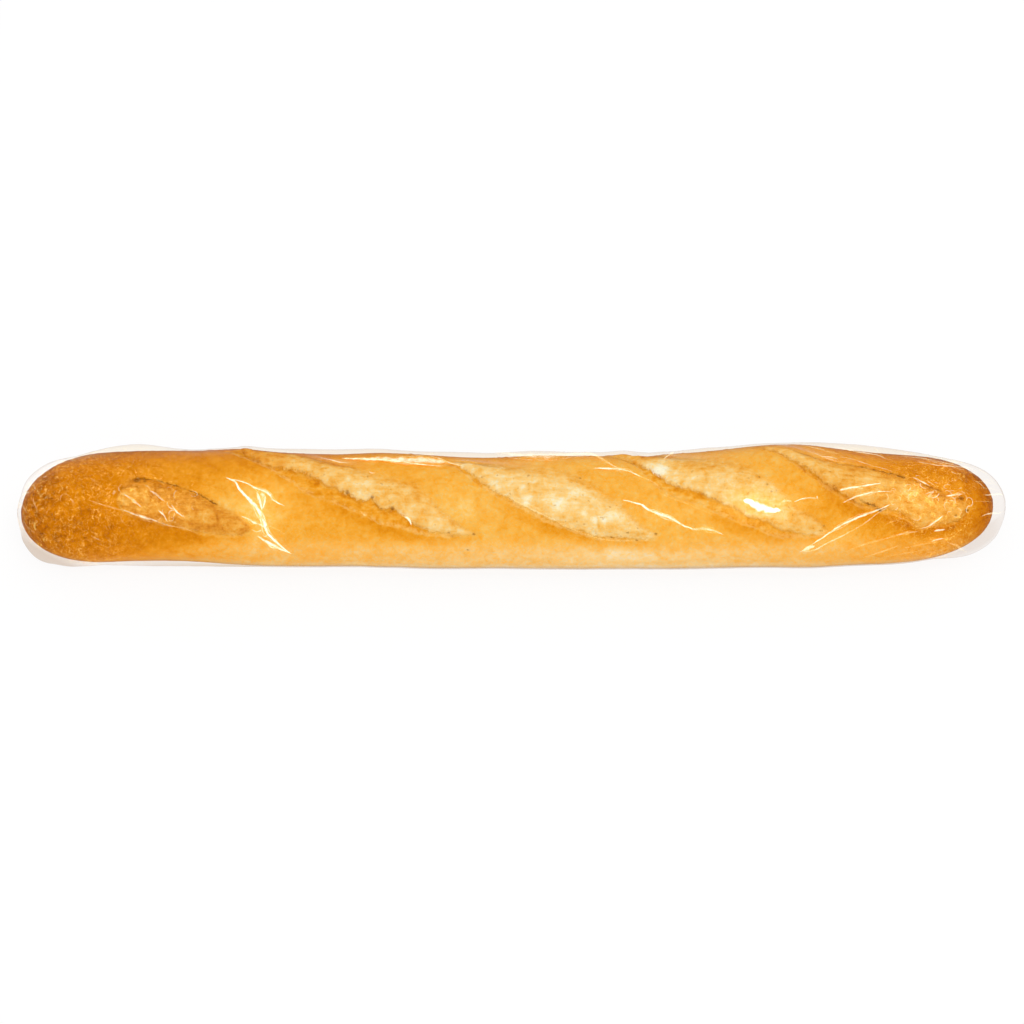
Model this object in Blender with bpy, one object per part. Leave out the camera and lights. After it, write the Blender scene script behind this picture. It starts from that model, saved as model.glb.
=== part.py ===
"""One baguette sealed in clear shrink film, modelled as a single closed solid.

The solid is the outer surface of the pack: the loaf with its flat base and
five slashed, risen cuts, the film drawn tight over it, and the looser film
standing off the two ends. Blender units are metres; the sizes below are in
millimetres and are scaled once at the end. +X runs along the loaf, +Z is up,
and the base lies on z = 0.
"""

import math

import bpy
import numpy as np

MM = 0.001

# ---- driving sizes, millimetres -------------------------------------------
LOAF_LEFT_TIP = -277.9
LOAF_RIGHT_TIP = 272.8
LEFT_END_LENGTH = 48.0  # the blunt left end rounds over in this length
RIGHT_END_LENGTH = 68.0  # the right end is a longer taper
LEFT_END_FULLNESS = 2.1  # 2 is elliptical, more is squarer
RIGHT_END_FULLNESS = 2.3
HEIGHT_PER_HALF_WIDTH = 1.52
WIDEST_LEVEL = 0.42  # share of the height at which the loaf is widest
UNDERSIDE_DEPTH = 1.18  # lower half before it is cut flat, in widest-level heights
FILM_BELOW = 0.5  # the loaf rests this far above the table, on the film
FILM_GAP = 0.6  # film stand-off where it is drawn tight

# along the loaf: x, half width, sideways drift of the middle line
LOAF_STATIONS = (
    (-278.0, 33.3, -1.0),
    (-250.0, 33.3, 0.9),
    (-222.0, 33.4, 2.1),
    (-176.0, 33.9, 1.6),
    (-154.0, 35.0, 1.1),
    (-125.0, 34.3, -0.2),
    (-103.0, 33.6, -0.6),
    (-69.0, 34.4, -0.7),
    (-40.0, 34.0, -1.8),
    (-12.0, 33.3, -2.1),
    (16.0, 33.9, -1.9),
    (39.0, 33.1, -2.2),
    (73.0, 33.6, -1.4),
    (101.0, 34.5, -1.2),
    (124.0, 35.4, 0.0),
    (146.0, 36.5, 1.3),
    (169.0, 36.6, 1.4),
    (192.0, 35.0, 1.4),
    (209.0, 34.0, 1.2),
    (240.0, 33.6, 1.8),
    (273.0, 33.4, 3.6),
)

# each cut: rows of x, angle of its back edge, angle of its front edge.
# Angles go round the section in degrees: 0 back, 90 top, 180 front.
CUTS = (
    ((-225, 104, 104), (-214, 92, 130), (-199, 94, 136), (-180, 105, 143), (-162, 121, 149), (-146, 150, 152)),
    ((-176, 30, 30), (-154, 38, 62), (-125, 51, 80), (-103, 63, 97), (-80, 80, 114), (-58, 93, 131), (-38, 117, 142), (-16, 145, 147)),
    ((-74, 18, 18), (-46, 30, 58), (-18, 42, 93), (13, 58, 124), (39, 84, 142), (61, 114, 150), (84, 150, 152)),
    ((48, 22, 22), (73, 38, 62), (98, 50, 99), (127, 74, 119), (150, 102, 132), (170, 127, 145), (184, 150, 151)),
    ((128, 28, 28), (149, 42, 61), (172, 64, 97), (192, 75, 115), (215, 85, 129), (238, 101, 143), (258, 138, 140)),
)
CUT_RISE = 2.0  # the torn crumb stands this far above the crust
VALLEY_DEPTH = 0.7  # the film dips this far between neighbouring cuts

# film standing off the ends and sides: x, half length, angle, half angle, height
FILM_FOLDS = (
    (-214.0, 34.0, 31.0, 26.0, 3.2),
    (-196.0, 62.0, 206.0, 22.0, 2.4),
    (-266.0, 12.0, 198.0, 42.0, 1.9),
    (-258.0, 30.0, 205.0, 38.0, 4.2),
    (-266.0, 22.0, 37.0, 34.0, 2.6),
    (258.0, 24.0, 205.0, 40.0, 3.1),
    (-100.0, 78.0, 34.0, 26.0, 2.2),
    (-33.0, 28.0, 34.0, 26.0, 1.1),
    (0.0, 62.0, 34.0, 26.0, 2.1),
    (62.0, 56.0, 34.0, 26.0, 1.5),
    (108.0, 18.0, 34.0, 26.0, 0.8),
    (125.0, 46.0, 34.0, 26.0, 0.7),
    (200.0, 52.0, 34.0, 26.0, 3.0),
)

# hollows and swellings of the loaf itself, given the same way
LOAF_LOBES = (
    (-250.0, 30.0, 40.0, 46.0, -1.5),
    (-128.0, 26.0, 36.0, 34.0, -0.8),
    (-33.0, 26.0, 36.0, 34.0, -0.8),
    (45.0, 16.0, 36.0, 34.0, 1.0),
    (70.0, 13.0, 36.0, 34.0, -1.3),
    (250.0, 22.0, 40.0, 40.0, 1.2),
    (-190.0, 30.0, 208.0, 30.0, -0.8),
    (66.0, 40.0, 208.0, 30.0, 0.6),
    (166.0, 28.0, 208.0, 30.0, 0.6),
)
# the back is lower towards the right end: x where it starts and is full, angle,
# half angle, depth
BACK_LOW = (110.0, 230.0, 35.0, 28.0, 1.9)

LEFT_TIP_GAP = 2.0
LEFT_GAP_LENGTH = 30.0
RIGHT_TIP_GAP = 7.0
RIGHT_GAP_LENGTH = 38.0

# ---- mesh density ----------------------------------------------------------
RINGS_LEFT_END = 16
RINGS_MIDDLE = 112
RINGS_RIGHT_END = 18
TOP_COLUMNS = 20
LOW_ANGLES = (180, 193, 206, 218, 229, 240, 270, 300, 311, 322, 334, 347)


def curve_through(x, xs, ys):
    """Smooth curve through uneven stations."""
    xs = np.asarray(xs, float)
    ys = np.asarray(ys, float)
    slope = np.gradient(ys, xs)
    i = np.clip(np.searchsorted(xs, x) - 1, 0, len(xs) - 2)
    span = xs[i + 1] - xs[i]
    t = np.clip((x - xs[i]) / span, 0.0, 1.0)
    t2, t3 = t * t, t * t * t
    return (
        (2 * t3 - 3 * t2 + 1) * ys[i]
        + (t3 - 2 * t2 + t) * span * slope[i]
        + (-2 * t3 + 3 * t2) * ys[i + 1]
        + (t3 - t2) * span * slope[i + 1]
    )


def end_rings():
    """x of every ring: even in angle round the two ends, even in length between."""
    a = np.linspace(0.0, math.pi / 2, RINGS_LEFT_END + 1)
    left = LOAF_LEFT_TIP + LEFT_END_LENGTH * (1 - np.cos(a) ** (2 / LEFT_END_FULLNESS))
    b = np.linspace(math.pi / 2, 0.0, RINGS_RIGHT_END + 1)
    right = LOAF_RIGHT_TIP - RIGHT_END_LENGTH * (1 - np.cos(b) ** (2 / RIGHT_END_FULLNESS))
    middle = np.linspace(left[-1], right[0], RINGS_MIDDLE + 1)
    return np.concatenate([left, middle[1:-1], right])


def end_taper(x):
    left = np.clip((x - LOAF_LEFT_TIP) / LEFT_END_LENGTH, 0.0, 1.0)
    right = np.clip((LOAF_RIGHT_TIP - x) / RIGHT_END_LENGTH, 0.0, 1.0)
    p, q = LEFT_END_FULLNESS, RIGHT_END_FULLNESS
    return (1 - (1 - left) ** p) ** (1 / p) * (1 - (1 - right) ** q) ** (1 / q)


def loaf_surface(x, angle):
    """Unsliced loaf surface at x and angle, before the base is cut flat."""
    stations = np.array(LOAF_STATIONS)
    half_width = curve_through(x, stations[:, 0], stations[:, 1])
    drift = curve_through(x, stations[:, 0], stations[:, 2])
    taper = end_taper(x)
    height = half_width * HEIGHT_PER_HALF_WIDTH
    widest = WIDEST_LEVEL * height
    upper = (height - widest) * taper
    lower = widest * UNDERSIDE_DEPTH * taper
    y = drift + half_width * taper * np.cos(angle)
    z = widest + np.where(np.sin(angle) > 0, upper, lower) * np.sin(angle)
    return np.stack([x + 0 * y, y, z + FILM_BELOW], axis=-1)


def soft_step(t):
    t = np.clip(t, 0.0, 1.0)
    return t * t * (3 - 2 * t)


def cut_relief(x, degrees):
    """Height of the risen cuts over the crust, and the dips between them."""
    rise = np.zeros_like(x)
    for rows in CUTS:
        rows = np.array(rows, float)
        back = curve_through(x, rows[:, 0], rows[:, 1])
        front = curve_through(x, rows[:, 0], rows[:, 2])
        width = np.maximum(front - back, 1e-6)
        across = np.clip((degrees - back) / width, 0.0, 1.0)
        inside = (x > rows[0, 0]) & (x < rows[-1, 0]) & (front - back > 0.5)
        # fuller towards the front edge, where the crust tore away
        bump = (1 - (2 * across ** 1.25 - 1) ** 2) ** 0.8
        amount = soft_step(width / 22.0)
        rise = np.maximum(rise, np.where(inside, CUT_RISE * bump * amount, 0.0))
    # the crust between two cuts sinks a little on the upper half
    on_top = soft_step((np.cos(np.radians(degrees - 95)) - 0.35) / 0.5)
    along = soft_step((x + 232) / 30) * soft_step((262 - x) / 30)
    return rise - VALLEY_DEPTH * on_top * along * (1 - soft_step(rise / 0.8))


def loaf_unevenness(x, degrees):
    """Height of the loaf's broad hollows and swellings."""
    height = np.zeros_like(x)
    for at, half_length, angle, half_angle, amount in LOAF_LOBES:
        turn = (degrees - angle + 180) % 360 - 180
        height += amount * np.exp(-(((x - at) / half_length) ** 2) - (turn / half_angle) ** 2)
    start, full, angle, half_angle, depth = BACK_LOW
    turn = (degrees - angle + 180) % 360 - 180
    height -= depth * soft_step((x - start) / (full - start)) * np.exp(-((turn / half_angle) ** 2))
    return height * np.clip(end_taper(x) / 0.12, 0.0, 1.0)


def film_gap(x, degrees):
    """How far the film stands off the loaf."""
    gap = np.full_like(x, FILM_GAP)
    left = np.clip((LOAF_LEFT_TIP + LEFT_GAP_LENGTH - x) / LEFT_GAP_LENGTH, 0.0, 1.0)
    right = np.clip((x - LOAF_RIGHT_TIP + RIGHT_GAP_LENGTH) / RIGHT_GAP_LENGTH, 0.0, 1.0)
    gap = gap + (LEFT_TIP_GAP - FILM_GAP) * left ** 2
    gap = gap + (RIGHT_TIP_GAP - FILM_GAP) * right ** 2
    clear_of_tips = soft_step((x - LOAF_LEFT_TIP) / 5) * soft_step((LOAF_RIGHT_TIP - x) / 5)
    for at, half_length, angle, half_angle, height in FILM_FOLDS:
        turn = (degrees - angle + 180) % 360 - 180
        lobe = np.cos(np.pi / 2 * np.clip((x - at) / half_length, -1, 1)) ** 2
        lobe = lobe * np.cos(np.pi / 2 * np.clip(turn / half_angle, -1, 1)) ** 2
        gap = gap + height * lobe * clear_of_tips
    return gap


def outward(points):
    """Unit outward directions of a ring grid whose first and last rings are tips."""
    along = np.gradient(points, axis=0)
    round_ = np.roll(points, -1, axis=1) - np.roll(points, 1, axis=1)
    normal = np.cross(round_, along)
    normal[0] = (-1.0, 0.0, 0.0)
    normal[-1] = (1.0, 0.0, 0.0)
    return normal / np.linalg.norm(normal, axis=-1, keepdims=True)


def pack_surface():
    rings = end_rings()
    top = np.linspace(0.0, 180.0, TOP_COLUMNS + 1)[:-1]
    degrees = np.concatenate([top, np.array(LOW_ANGLES, float)])
    x, turn = np.meshgrid(rings, degrees, indexing="ij")
    base = loaf_surface(x, np.radians(turn))
    push = cut_relief(x, turn) + loaf_unevenness(x, turn) + film_gap(x, turn)
    points = base + outward(base) * push[..., None]
    points[..., 2] = np.maximum(points[..., 2], 0.0)
    return points


def closed_faces(rings, columns):
    """Quads between rings, and a fan at each tip; tip rings are single points."""
    faces = []
    first = 1
    last = 1 + (rings - 2) * columns
    for j in range(columns):
        k = (j + 1) % columns
        faces.append((0, first + k, first + j))
        faces.append((last, last - columns + j, last - columns + k))
    for i in range(rings - 3):
        here = first + i * columns
        there = here + columns
        for j in range(columns):
            k = (j + 1) % columns
            faces.append((here + j, here + k, there + k, there + j))
    return faces


def add_material(name, colour, roughness):
    material = bpy.data.materials.new(name)
    material.use_nodes = True
    surface = material.node_tree.nodes["Principled BSDF"]
    surface.inputs["Base Color"].default_value = colour
    surface.inputs["Roughness"].default_value = roughness
    material.diffuse_color = colour
    return material


for old in list(bpy.data.objects):
    bpy.data.objects.remove(old, do_unlink=True)

surface = pack_surface()
ring_count, column_count = surface.shape[:2]
centre = (surface.reshape(-1, 3).min(axis=0) + surface.reshape(-1, 3).max(axis=0)) / 2
surface[..., 0] -= centre[0]
surface[..., 1] -= centre[1]
vertices = np.concatenate(
    [surface[0, :1], surface[1:-1].reshape(-1, 3), surface[-1, :1]]
) * MM

mesh = bpy.data.meshes.new("wrapped_baguette")
mesh.from_pydata(vertices.tolist(), [], closed_faces(ring_count, column_count))
mesh.validate()
mesh.polygons.foreach_set("use_smooth", [True] * len(mesh.polygons))
mesh.update()
pack = bpy.data.objects.new("wrapped_baguette", mesh)
pack.data.materials.append(add_material("baked crust under film", (0.85, 0.43, 0.10, 1.0), 0.35))
bpy.context.scene.collection.objects.link(pack)
print("shift", centre[:2], "triangles", sum(len(f.vertices) - 2 for f in mesh.polygons))
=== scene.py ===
"""Looks for the baguette in clear shrink film: the bread, the film round it, a
white table and soft light. Sizes are in millimetres until a mesh is made."""

import math

import bpy
import numpy as np
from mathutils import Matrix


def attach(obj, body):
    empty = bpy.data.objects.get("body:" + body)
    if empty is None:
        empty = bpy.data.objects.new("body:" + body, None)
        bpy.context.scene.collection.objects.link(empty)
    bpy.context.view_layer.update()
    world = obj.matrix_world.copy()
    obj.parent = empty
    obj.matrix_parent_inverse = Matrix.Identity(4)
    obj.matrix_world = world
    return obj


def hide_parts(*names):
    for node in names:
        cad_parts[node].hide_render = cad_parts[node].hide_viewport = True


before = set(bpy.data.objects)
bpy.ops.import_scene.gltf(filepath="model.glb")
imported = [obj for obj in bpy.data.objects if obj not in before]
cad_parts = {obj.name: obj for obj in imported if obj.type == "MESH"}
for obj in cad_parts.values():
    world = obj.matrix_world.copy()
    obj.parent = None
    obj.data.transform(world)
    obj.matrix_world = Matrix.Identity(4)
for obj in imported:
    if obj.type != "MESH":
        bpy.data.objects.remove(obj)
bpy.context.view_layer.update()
MM = 0.001

# ---------------------------------------------------------------------------
# the loaf's form, with the same sizes as the solid
# ---------------------------------------------------------------------------
LOAF_LEFT_TIP = -277.9
LOAF_RIGHT_TIP = 272.8
LEFT_END_LENGTH = 48.0
RIGHT_END_LENGTH = 68.0
LEFT_END_FULLNESS = 2.1
RIGHT_END_FULLNESS = 2.3
HEIGHT_PER_HALF_WIDTH = 1.52
WIDEST_LEVEL = 0.42
UNDERSIDE_DEPTH = 1.18
FILM_BELOW = 0.5
FILM_GAP = 0.55
CENTRE_SHIFT = (-0.05, 1.085)  # the solid is centred on its box by this much

LOAF_STATIONS = np.array((
    (-278.0, 33.3, -1.0),
    (-250.0, 33.3, 0.9),
    (-222.0, 33.4, 2.1),
    (-176.0, 33.9, 1.6),
    (-154.0, 35.0, 1.1),
    (-125.0, 34.3, -0.2),
    (-103.0, 33.6, -0.6),
    (-69.0, 34.4, -0.7),
    (-40.0, 34.0, -1.8),
    (-12.0, 33.3, -2.1),
    (16.0, 33.9, -1.9),
    (39.0, 33.1, -2.2),
    (73.0, 33.6, -1.4),
    (101.0, 34.5, -1.2),
    (124.0, 35.4, 0.0),
    (146.0, 36.5, 1.3),
    (169.0, 36.6, 1.4),
    (192.0, 35.0, 1.4),
    (209.0, 34.0, 1.2),
    (240.0, 33.6, 1.8),
    (273.0, 33.4, 3.6),
))

FILM_FOLDS = (
    (-214.0, 34.0, 31.0, 26.0, 3.2),
    (-196.0, 62.0, 206.0, 22.0, 2.4),
    (-266.0, 12.0, 198.0, 42.0, 1.9),
    (-258.0, 30.0, 205.0, 38.0, 4.2),
    (-266.0, 22.0, 37.0, 34.0, 2.6),
    (258.0, 24.0, 205.0, 40.0, 3.1),
    (-100.0, 78.0, 34.0, 26.0, 2.2),
    (-33.0, 28.0, 34.0, 26.0, 1.1),
    (0.0, 62.0, 34.0, 26.0, 2.1),
    (62.0, 56.0, 34.0, 26.0, 1.5),
    (108.0, 18.0, 34.0, 26.0, 0.8),
    (125.0, 46.0, 34.0, 26.0, 0.7),
    (200.0, 52.0, 34.0, 26.0, 3.0),
)
LOAF_LOBES = (  # hollows and swellings of the loaf itself
    (-250.0, 30.0, 40.0, 46.0, -1.5),
    (-128.0, 26.0, 36.0, 34.0, -0.8),
    (-33.0, 26.0, 36.0, 34.0, -0.8),
    (45.0, 16.0, 36.0, 34.0, 1.0),
    (70.0, 13.0, 36.0, 34.0, -1.3),
    (250.0, 22.0, 40.0, 40.0, 1.2),
    (-190.0, 30.0, 208.0, 30.0, -0.8),
    (66.0, 40.0, 208.0, 30.0, 0.6),
    (166.0, 28.0, 208.0, 30.0, 0.6),
)
BACK_LOW = (110.0, 230.0, 35.0, 28.0, 1.9)  # the loaf's back is lower towards the right end
LEFT_TIP_GAP = 2.0
LEFT_GAP_LENGTH = 30.0
RIGHT_TIP_GAP = 7.0
RIGHT_GAP_LENGTH = 38.0

# The view that the lines on the loaf were measured in: it looks down at 55
# degrees, and its units are 0.566 mm, right and down from the upper left.
VIEW_ELEVATION = math.radians(55.0)
VIEW_UNIT = 0.566
VIEW_MIDDLE = (511.5, 508.75)
VIEW_MIDDLE_Y = 16.5
MM_PER_DEGREE = 0.53  # along the section's outline


def curve_through(x, xs, ys):
    xs = np.asarray(xs, float)
    ys = np.asarray(ys, float)
    x = np.asarray(x, float)
    slope = np.gradient(ys, xs)
    i = np.clip(np.searchsorted(xs, x) - 1, 0, len(xs) - 2)
    span = xs[i + 1] - xs[i]
    t = np.clip((x - xs[i]) / span, 0.0, 1.0)
    t2, t3 = t * t, t * t * t
    return (
        (2 * t3 - 3 * t2 + 1) * ys[i]
        + (t3 - 2 * t2 + t) * span * slope[i]
        + (-2 * t3 + 3 * t2) * ys[i + 1]
        + (t3 - t2) * span * slope[i + 1]
    )


def step(low, high, value):
    t = np.clip((value - low) / (high - low), 0.0, 1.0)
    return t * t * (3 - 2 * t)


def bell(distance, width):
    return np.exp(-((distance / width) ** 2))


def end_taper(x):
    left = np.clip((x - LOAF_LEFT_TIP) / LEFT_END_LENGTH, 0.0, 1.0)
    right = np.clip((LOAF_RIGHT_TIP - x) / RIGHT_END_LENGTH, 0.0, 1.0)
    p, q = LEFT_END_FULLNESS, RIGHT_END_FULLNESS
    return (1 - (1 - left) ** p) ** (1 / p) * (1 - (1 - right) ** q) ** (1 / q)


def loaf_surface(x, degrees):
    angle = np.radians(degrees)
    half_width = curve_through(x, LOAF_STATIONS[:, 0], LOAF_STATIONS[:, 1])
    drift = curve_through(x, LOAF_STATIONS[:, 0], LOAF_STATIONS[:, 2])
    taper = end_taper(x)
    height = half_width * HEIGHT_PER_HALF_WIDTH
    widest = WIDEST_LEVEL * height
    upper = (height - widest) * taper
    lower = widest * UNDERSIDE_DEPTH * taper
    y = drift + half_width * taper * np.cos(angle)
    z = widest + np.where(np.sin(angle) > 0, upper, lower) * np.sin(angle)
    return np.stack([x + 0 * y, y, z + FILM_BELOW], axis=-1)


def seen(points):
    """(x, degrees) on the loaf of points given in the view's units."""
    found = []
    table = np.arange(24.0, 214.0, 0.25)
    for u, v in points:
        x = (u - VIEW_MIDDLE[0]) * VIEW_UNIT
        at = loaf_surface(np.full(table.shape, x), table)
        down = VIEW_MIDDLE[1] - (
            (at[:, 1] - VIEW_MIDDLE_Y) * math.sin(VIEW_ELEVATION)
            + (at[:, 2] - FILM_BELOW) * math.cos(VIEW_ELEVATION)
        ) / VIEW_UNIT
        first, last = int(down.argmin()), int(down.argmax())
        found.append((x, float(np.interp(v, down[first:last + 1], table[first:last + 1]))))
    return np.array(found)


def ring_positions(left_rings, middle_rings, right_rings):
    a = np.linspace(0.0, math.pi / 2, left_rings + 1)
    left = LOAF_LEFT_TIP + LEFT_END_LENGTH * (1 - np.cos(a) ** (2 / LEFT_END_FULLNESS))
    b = np.linspace(math.pi / 2, 0.0, right_rings + 1)
    right = LOAF_RIGHT_TIP - RIGHT_END_LENGTH * (1 - np.cos(b) ** (2 / RIGHT_END_FULLNESS))
    middle = np.linspace(left[-1], right[0], middle_rings + 1)
    return np.concatenate([left, middle[1:-1], right])


def outward(points):
    along = np.gradient(points, axis=0)
    round_ = np.roll(points, -1, axis=1) - np.roll(points, 1, axis=1)
    normal = np.cross(round_, along)
    normal[0] = (-1.0, 0.0, 0.0)
    normal[-1] = (1.0, 0.0, 0.0)
    return normal / np.maximum(np.linalg.norm(normal, axis=-1, keepdims=True), 1e-9)


# ---------------------------------------------------------------------------
# noise
# ---------------------------------------------------------------------------
def _hash(ix, iy, iz, seed):
    h = (
        ix.astype(np.uint64) * np.uint64(0x9E3779B1)
        + iy.astype(np.uint64) * np.uint64(0x85EBCA77)
        + iz.astype(np.uint64) * np.uint64(0xC2B2AE3D)
        + np.uint64(seed * 0x27D4EB2F + 0x165667B1)
    ) & np.uint64(0xFFFFFFFF)
    h ^= h >> np.uint64(15)
    h = (h * np.uint64(0x2C1B3C6D)) & np.uint64(0xFFFFFFFF)
    h ^= h >> np.uint64(12)
    h = (h * np.uint64(0x297A2D39)) & np.uint64(0xFFFFFFFF)
    h ^= h >> np.uint64(15)
    return h


def noise(points, size, seed=0):
    """Gradient noise, about -1 to 1, with features of that size in mm."""
    p = np.asarray(points, float) / size + 1000.0
    cell = np.floor(p).astype(np.int64)
    f = p - cell
    fade = f * f * f * (f * (f * 6 - 15) + 10)
    total = 0.0
    for dx in (0, 1):
        for dy in (0, 1):
            for dz in (0, 1):
                h = _hash(cell[..., 0] + dx, cell[..., 1] + dy, cell[..., 2] + dz, seed)
                gx = (h & np.uint64(1023)).astype(float) / 511.5 - 1
                gy = ((h >> np.uint64(10)) & np.uint64(1023)).astype(float) / 511.5 - 1
                gz = ((h >> np.uint64(20)) & np.uint64(1023)).astype(float) / 511.5 - 1
                dot = gx * (f[..., 0] - dx) + gy * (f[..., 1] - dy) + gz * (f[..., 2] - dz)
                wx = fade[..., 0] if dx else 1 - fade[..., 0]
                wy = fade[..., 1] if dy else 1 - fade[..., 1]
                wz = fade[..., 2] if dz else 1 - fade[..., 2]
                total = total + dot * wx * wy * wz
    return total * 1.3


def layered(points, size, seed=0, octaves=3, gain=0.5):
    total, amount, weight = 0.0, 1.0, 0.0
    for k in range(octaves):
        total = total + amount * noise(points, size / 2 ** k, seed + 17 * k)
        weight += amount
        amount *= gain
    return total / weight ** 0.7


# ---------------------------------------------------------------------------
# the five slashes. Each has a back edge, a torn front edge where the crumb
# rose over the crust, and the outer edge of the browner band below that edge.
# The hidden start behind the top is (x, degrees); the rest is as seen.
# ---------------------------------------------------------------------------
SLASHES = (
    dict(
        start=None,
        back=((116, 497), (122, 487), (134, 480), (157, 481), (180, 487), (193, 491), (205, 498), (229, 509), (240, 516), (256, 532)),
        front=((116, 497), (121, 508), (128, 512), (145, 518), (160, 522), (183, 527), (199, 532), (212, 534), (226, 536), (240, 536), (256, 532)),
        outer=((116, 497), (121, 510), (128, 514), (145, 520), (160, 524), (183, 529), (199, 534), (212, 536), (226, 538), (240, 537), (256, 532)),
        pale=0.22, rise=1.4, lip=0.6, dark=0.25, dark_to=0.6, soft=2.0,
    ),
    dict(
        start=(-180.0, 27.0),
        back=((240, 450), (290, 454), (319, 460), (348, 466), (380, 476), (396, 480), (416, 486), (427, 494), (439, 509), (457, 523), (480, 536)),
        front=((240, 452), (264, 464), (278, 468), (297, 471), (312, 477), (327, 484), (348, 494), (362, 501), (373, 500), (382, 510), (393, 510), (408, 520), (416, 526), (432, 532), (449, 534), (480, 537)),
        outer=((240, 456), (273, 471), (290, 481), (305, 492), (327, 501), (341, 506), (351, 511), (365, 517), (379, 523), (397, 528), (416, 533), (432, 536), (449, 537), (480, 537)),
        pale=0.84, rise=2.2, lip=0.95, dark=0.55, dark_to=0.74, soft=1.6,
    ),
    dict(
        start=(-76.0, 20.0),
        back=((430, 458), (470, 463), (500, 465.5), (532, 467.5), (550, 469.5), (566, 472), (581, 477), (593, 484), (605, 494), (624, 506), (636, 521), (662, 539)),
        front=((430, 458), (455, 464), (480, 481), (498, 493), (516, 503), (529, 510), (547, 519), (560, 525), (580, 532), (600, 537), (618, 538), (640, 539), (662, 540)),
        outer=((430, 460), (455, 468), (480, 487), (492, 494), (504, 501), (526, 512), (547, 523), (559, 527), (572, 532), (585, 536), (599, 540), (616, 541), (636, 541), (662, 540)),
        pale=1.0, rise=2.3, lip=1.0, dark=0.14, dark_to=0.9, soft=3.4,
    ),
    dict(
        start=(48.0, 23.0),
        back=((640, 456), (680, 457.5), (708, 459.5), (733, 463), (745, 466), (757, 471), (766, 477), (779, 489), (788, 500), (803, 512), (814, 520), (834, 536)),
        front=((640, 464), (655, 474), (670, 484), (691, 490), (704, 495), (719, 503), (730, 507), (748, 517), (766, 523), (780, 530), (795, 533), (815, 535), (834, 537)),
        outer=((640, 470), (650, 482), (664, 493), (681, 501), (702, 507), (714, 513), (730, 520), (745, 526), (757, 530), (766, 535), (780, 538), (803, 538), (834, 537)),
        pale=0.92, rise=2.1, lip=0.75, dark=0.5, dark_to=0.66, soft=2.0,
    ),
    dict(
        start=(126.0, 27.0),
        back=((775, 448), (818, 459), (834, 463), (855, 466), (871, 469), (888, 474), (902, 477), (923, 484), (944, 493), (958, 498), (972, 507)),
        front=((775, 451), (790, 459), (800, 465), (814, 473), (823, 482), (837, 491), (855, 502), (869, 506), (878, 510), (896, 512), (910, 521), (919, 527), (930, 525), (944, 524), (955, 522), (972, 508)),
        outer=((775, 453), (790, 462), (800, 470), (815, 481), (830, 492), (855, 506), (869, 509), (878, 513), (896, 516), (910, 525), (919, 530), (930, 528), (944, 527), (955, 524), (972, 509)),
        pale=0.80, rise=2.2, lip=0.55, dark=0.8, dark_to=0.52, soft=1.6,
    ),
)

# small holes in and along the torn crumb, their darkness painted shade, as seen, with their radius in mm
HOLES = (
    (138, 480, 1.5), (146, 481, 1.0), (158, 482, 0.7), (170, 486, 0.6), (204, 500, 0.8), (216, 504, 0.7), (229, 509, 0.6),
    (296, 470, 0.7), (311, 476, 0.8), (348, 493, 1.1), (356, 489, 0.5), (373, 498, 1.0), (382, 509, 0.8), (393, 509, 1.1),
    (362, 489, 0.5), (449, 533, 0.9), (459, 524, 0.7), (474, 535, 1.0), (468, 551, 0.9), (452, 537, 0.6),
    (580, 478, 0.9), (566, 471, 0.6), (554, 468, 0.6), (611, 538, 0.9), (627, 533, 0.9), (655, 535, 1.0), (636, 526, 0.6), (532, 471, 0.6), (540, 497, 0.6),
    (616, 539, 0.6), (636, 541, 0.9), (595, 534, 0.7), (543, 505, 0.5), (574, 520, 0.5),
    (758, 477, 0.9), (766, 485, 0.9), (775, 491, 0.7), (745, 468, 0.6), (716, 471, 0.6), (702, 481, 0.6), (724, 488, 0.5), (762, 500, 0.5),
    (815, 520, 0.8), (822, 527, 0.8), (805, 515, 0.5),
    (868, 505, 0.9), (878, 511, 1.2), (884, 508, 0.8), (898, 476, 1.1), (902, 477, 1.2), (888, 474, 0.8), (855, 466, 0.8), (840, 464, 0.8), (872, 469, 0.7),
    (960, 499, 1.4), (965, 511, 1.3), (953, 516, 1.0), (942, 507, 0.8), (947, 497, 0.6), (926, 505, 0.7), (932, 501, 0.6), (920, 512, 0.5), (955, 507, 0.8),
    (690, 544, 0.6), (760, 548, 0.5), (855, 536, 0.7), (540, 543, 0.5), (300, 528, 0.4),
)

# cracks as seen, darkened with painted shade, with their strength
CRACKS = (
    (((131, 481), (137, 479), (143, 478.6), (151, 479.3), (160, 480.6), (169, 484), (179, 486.4), (191, 491), (201, 495), (211, 501), (216, 504), (226, 508)), 0.9),
    (((822, 459), (829, 460.7), (838, 463.3), (849, 465), (861, 466.5), (873, 469), (884, 472), (893, 473.6), (900, 476), (905, 478)), 1.0),
    (((908, 480), (912, 481), (926, 487), (935, 490.5), (944, 493)), 0.6),
    (((856, 500), (863, 503), (868, 505), (873, 507.2), (880, 510.4), (886, 509)), 0.9),
)
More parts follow.
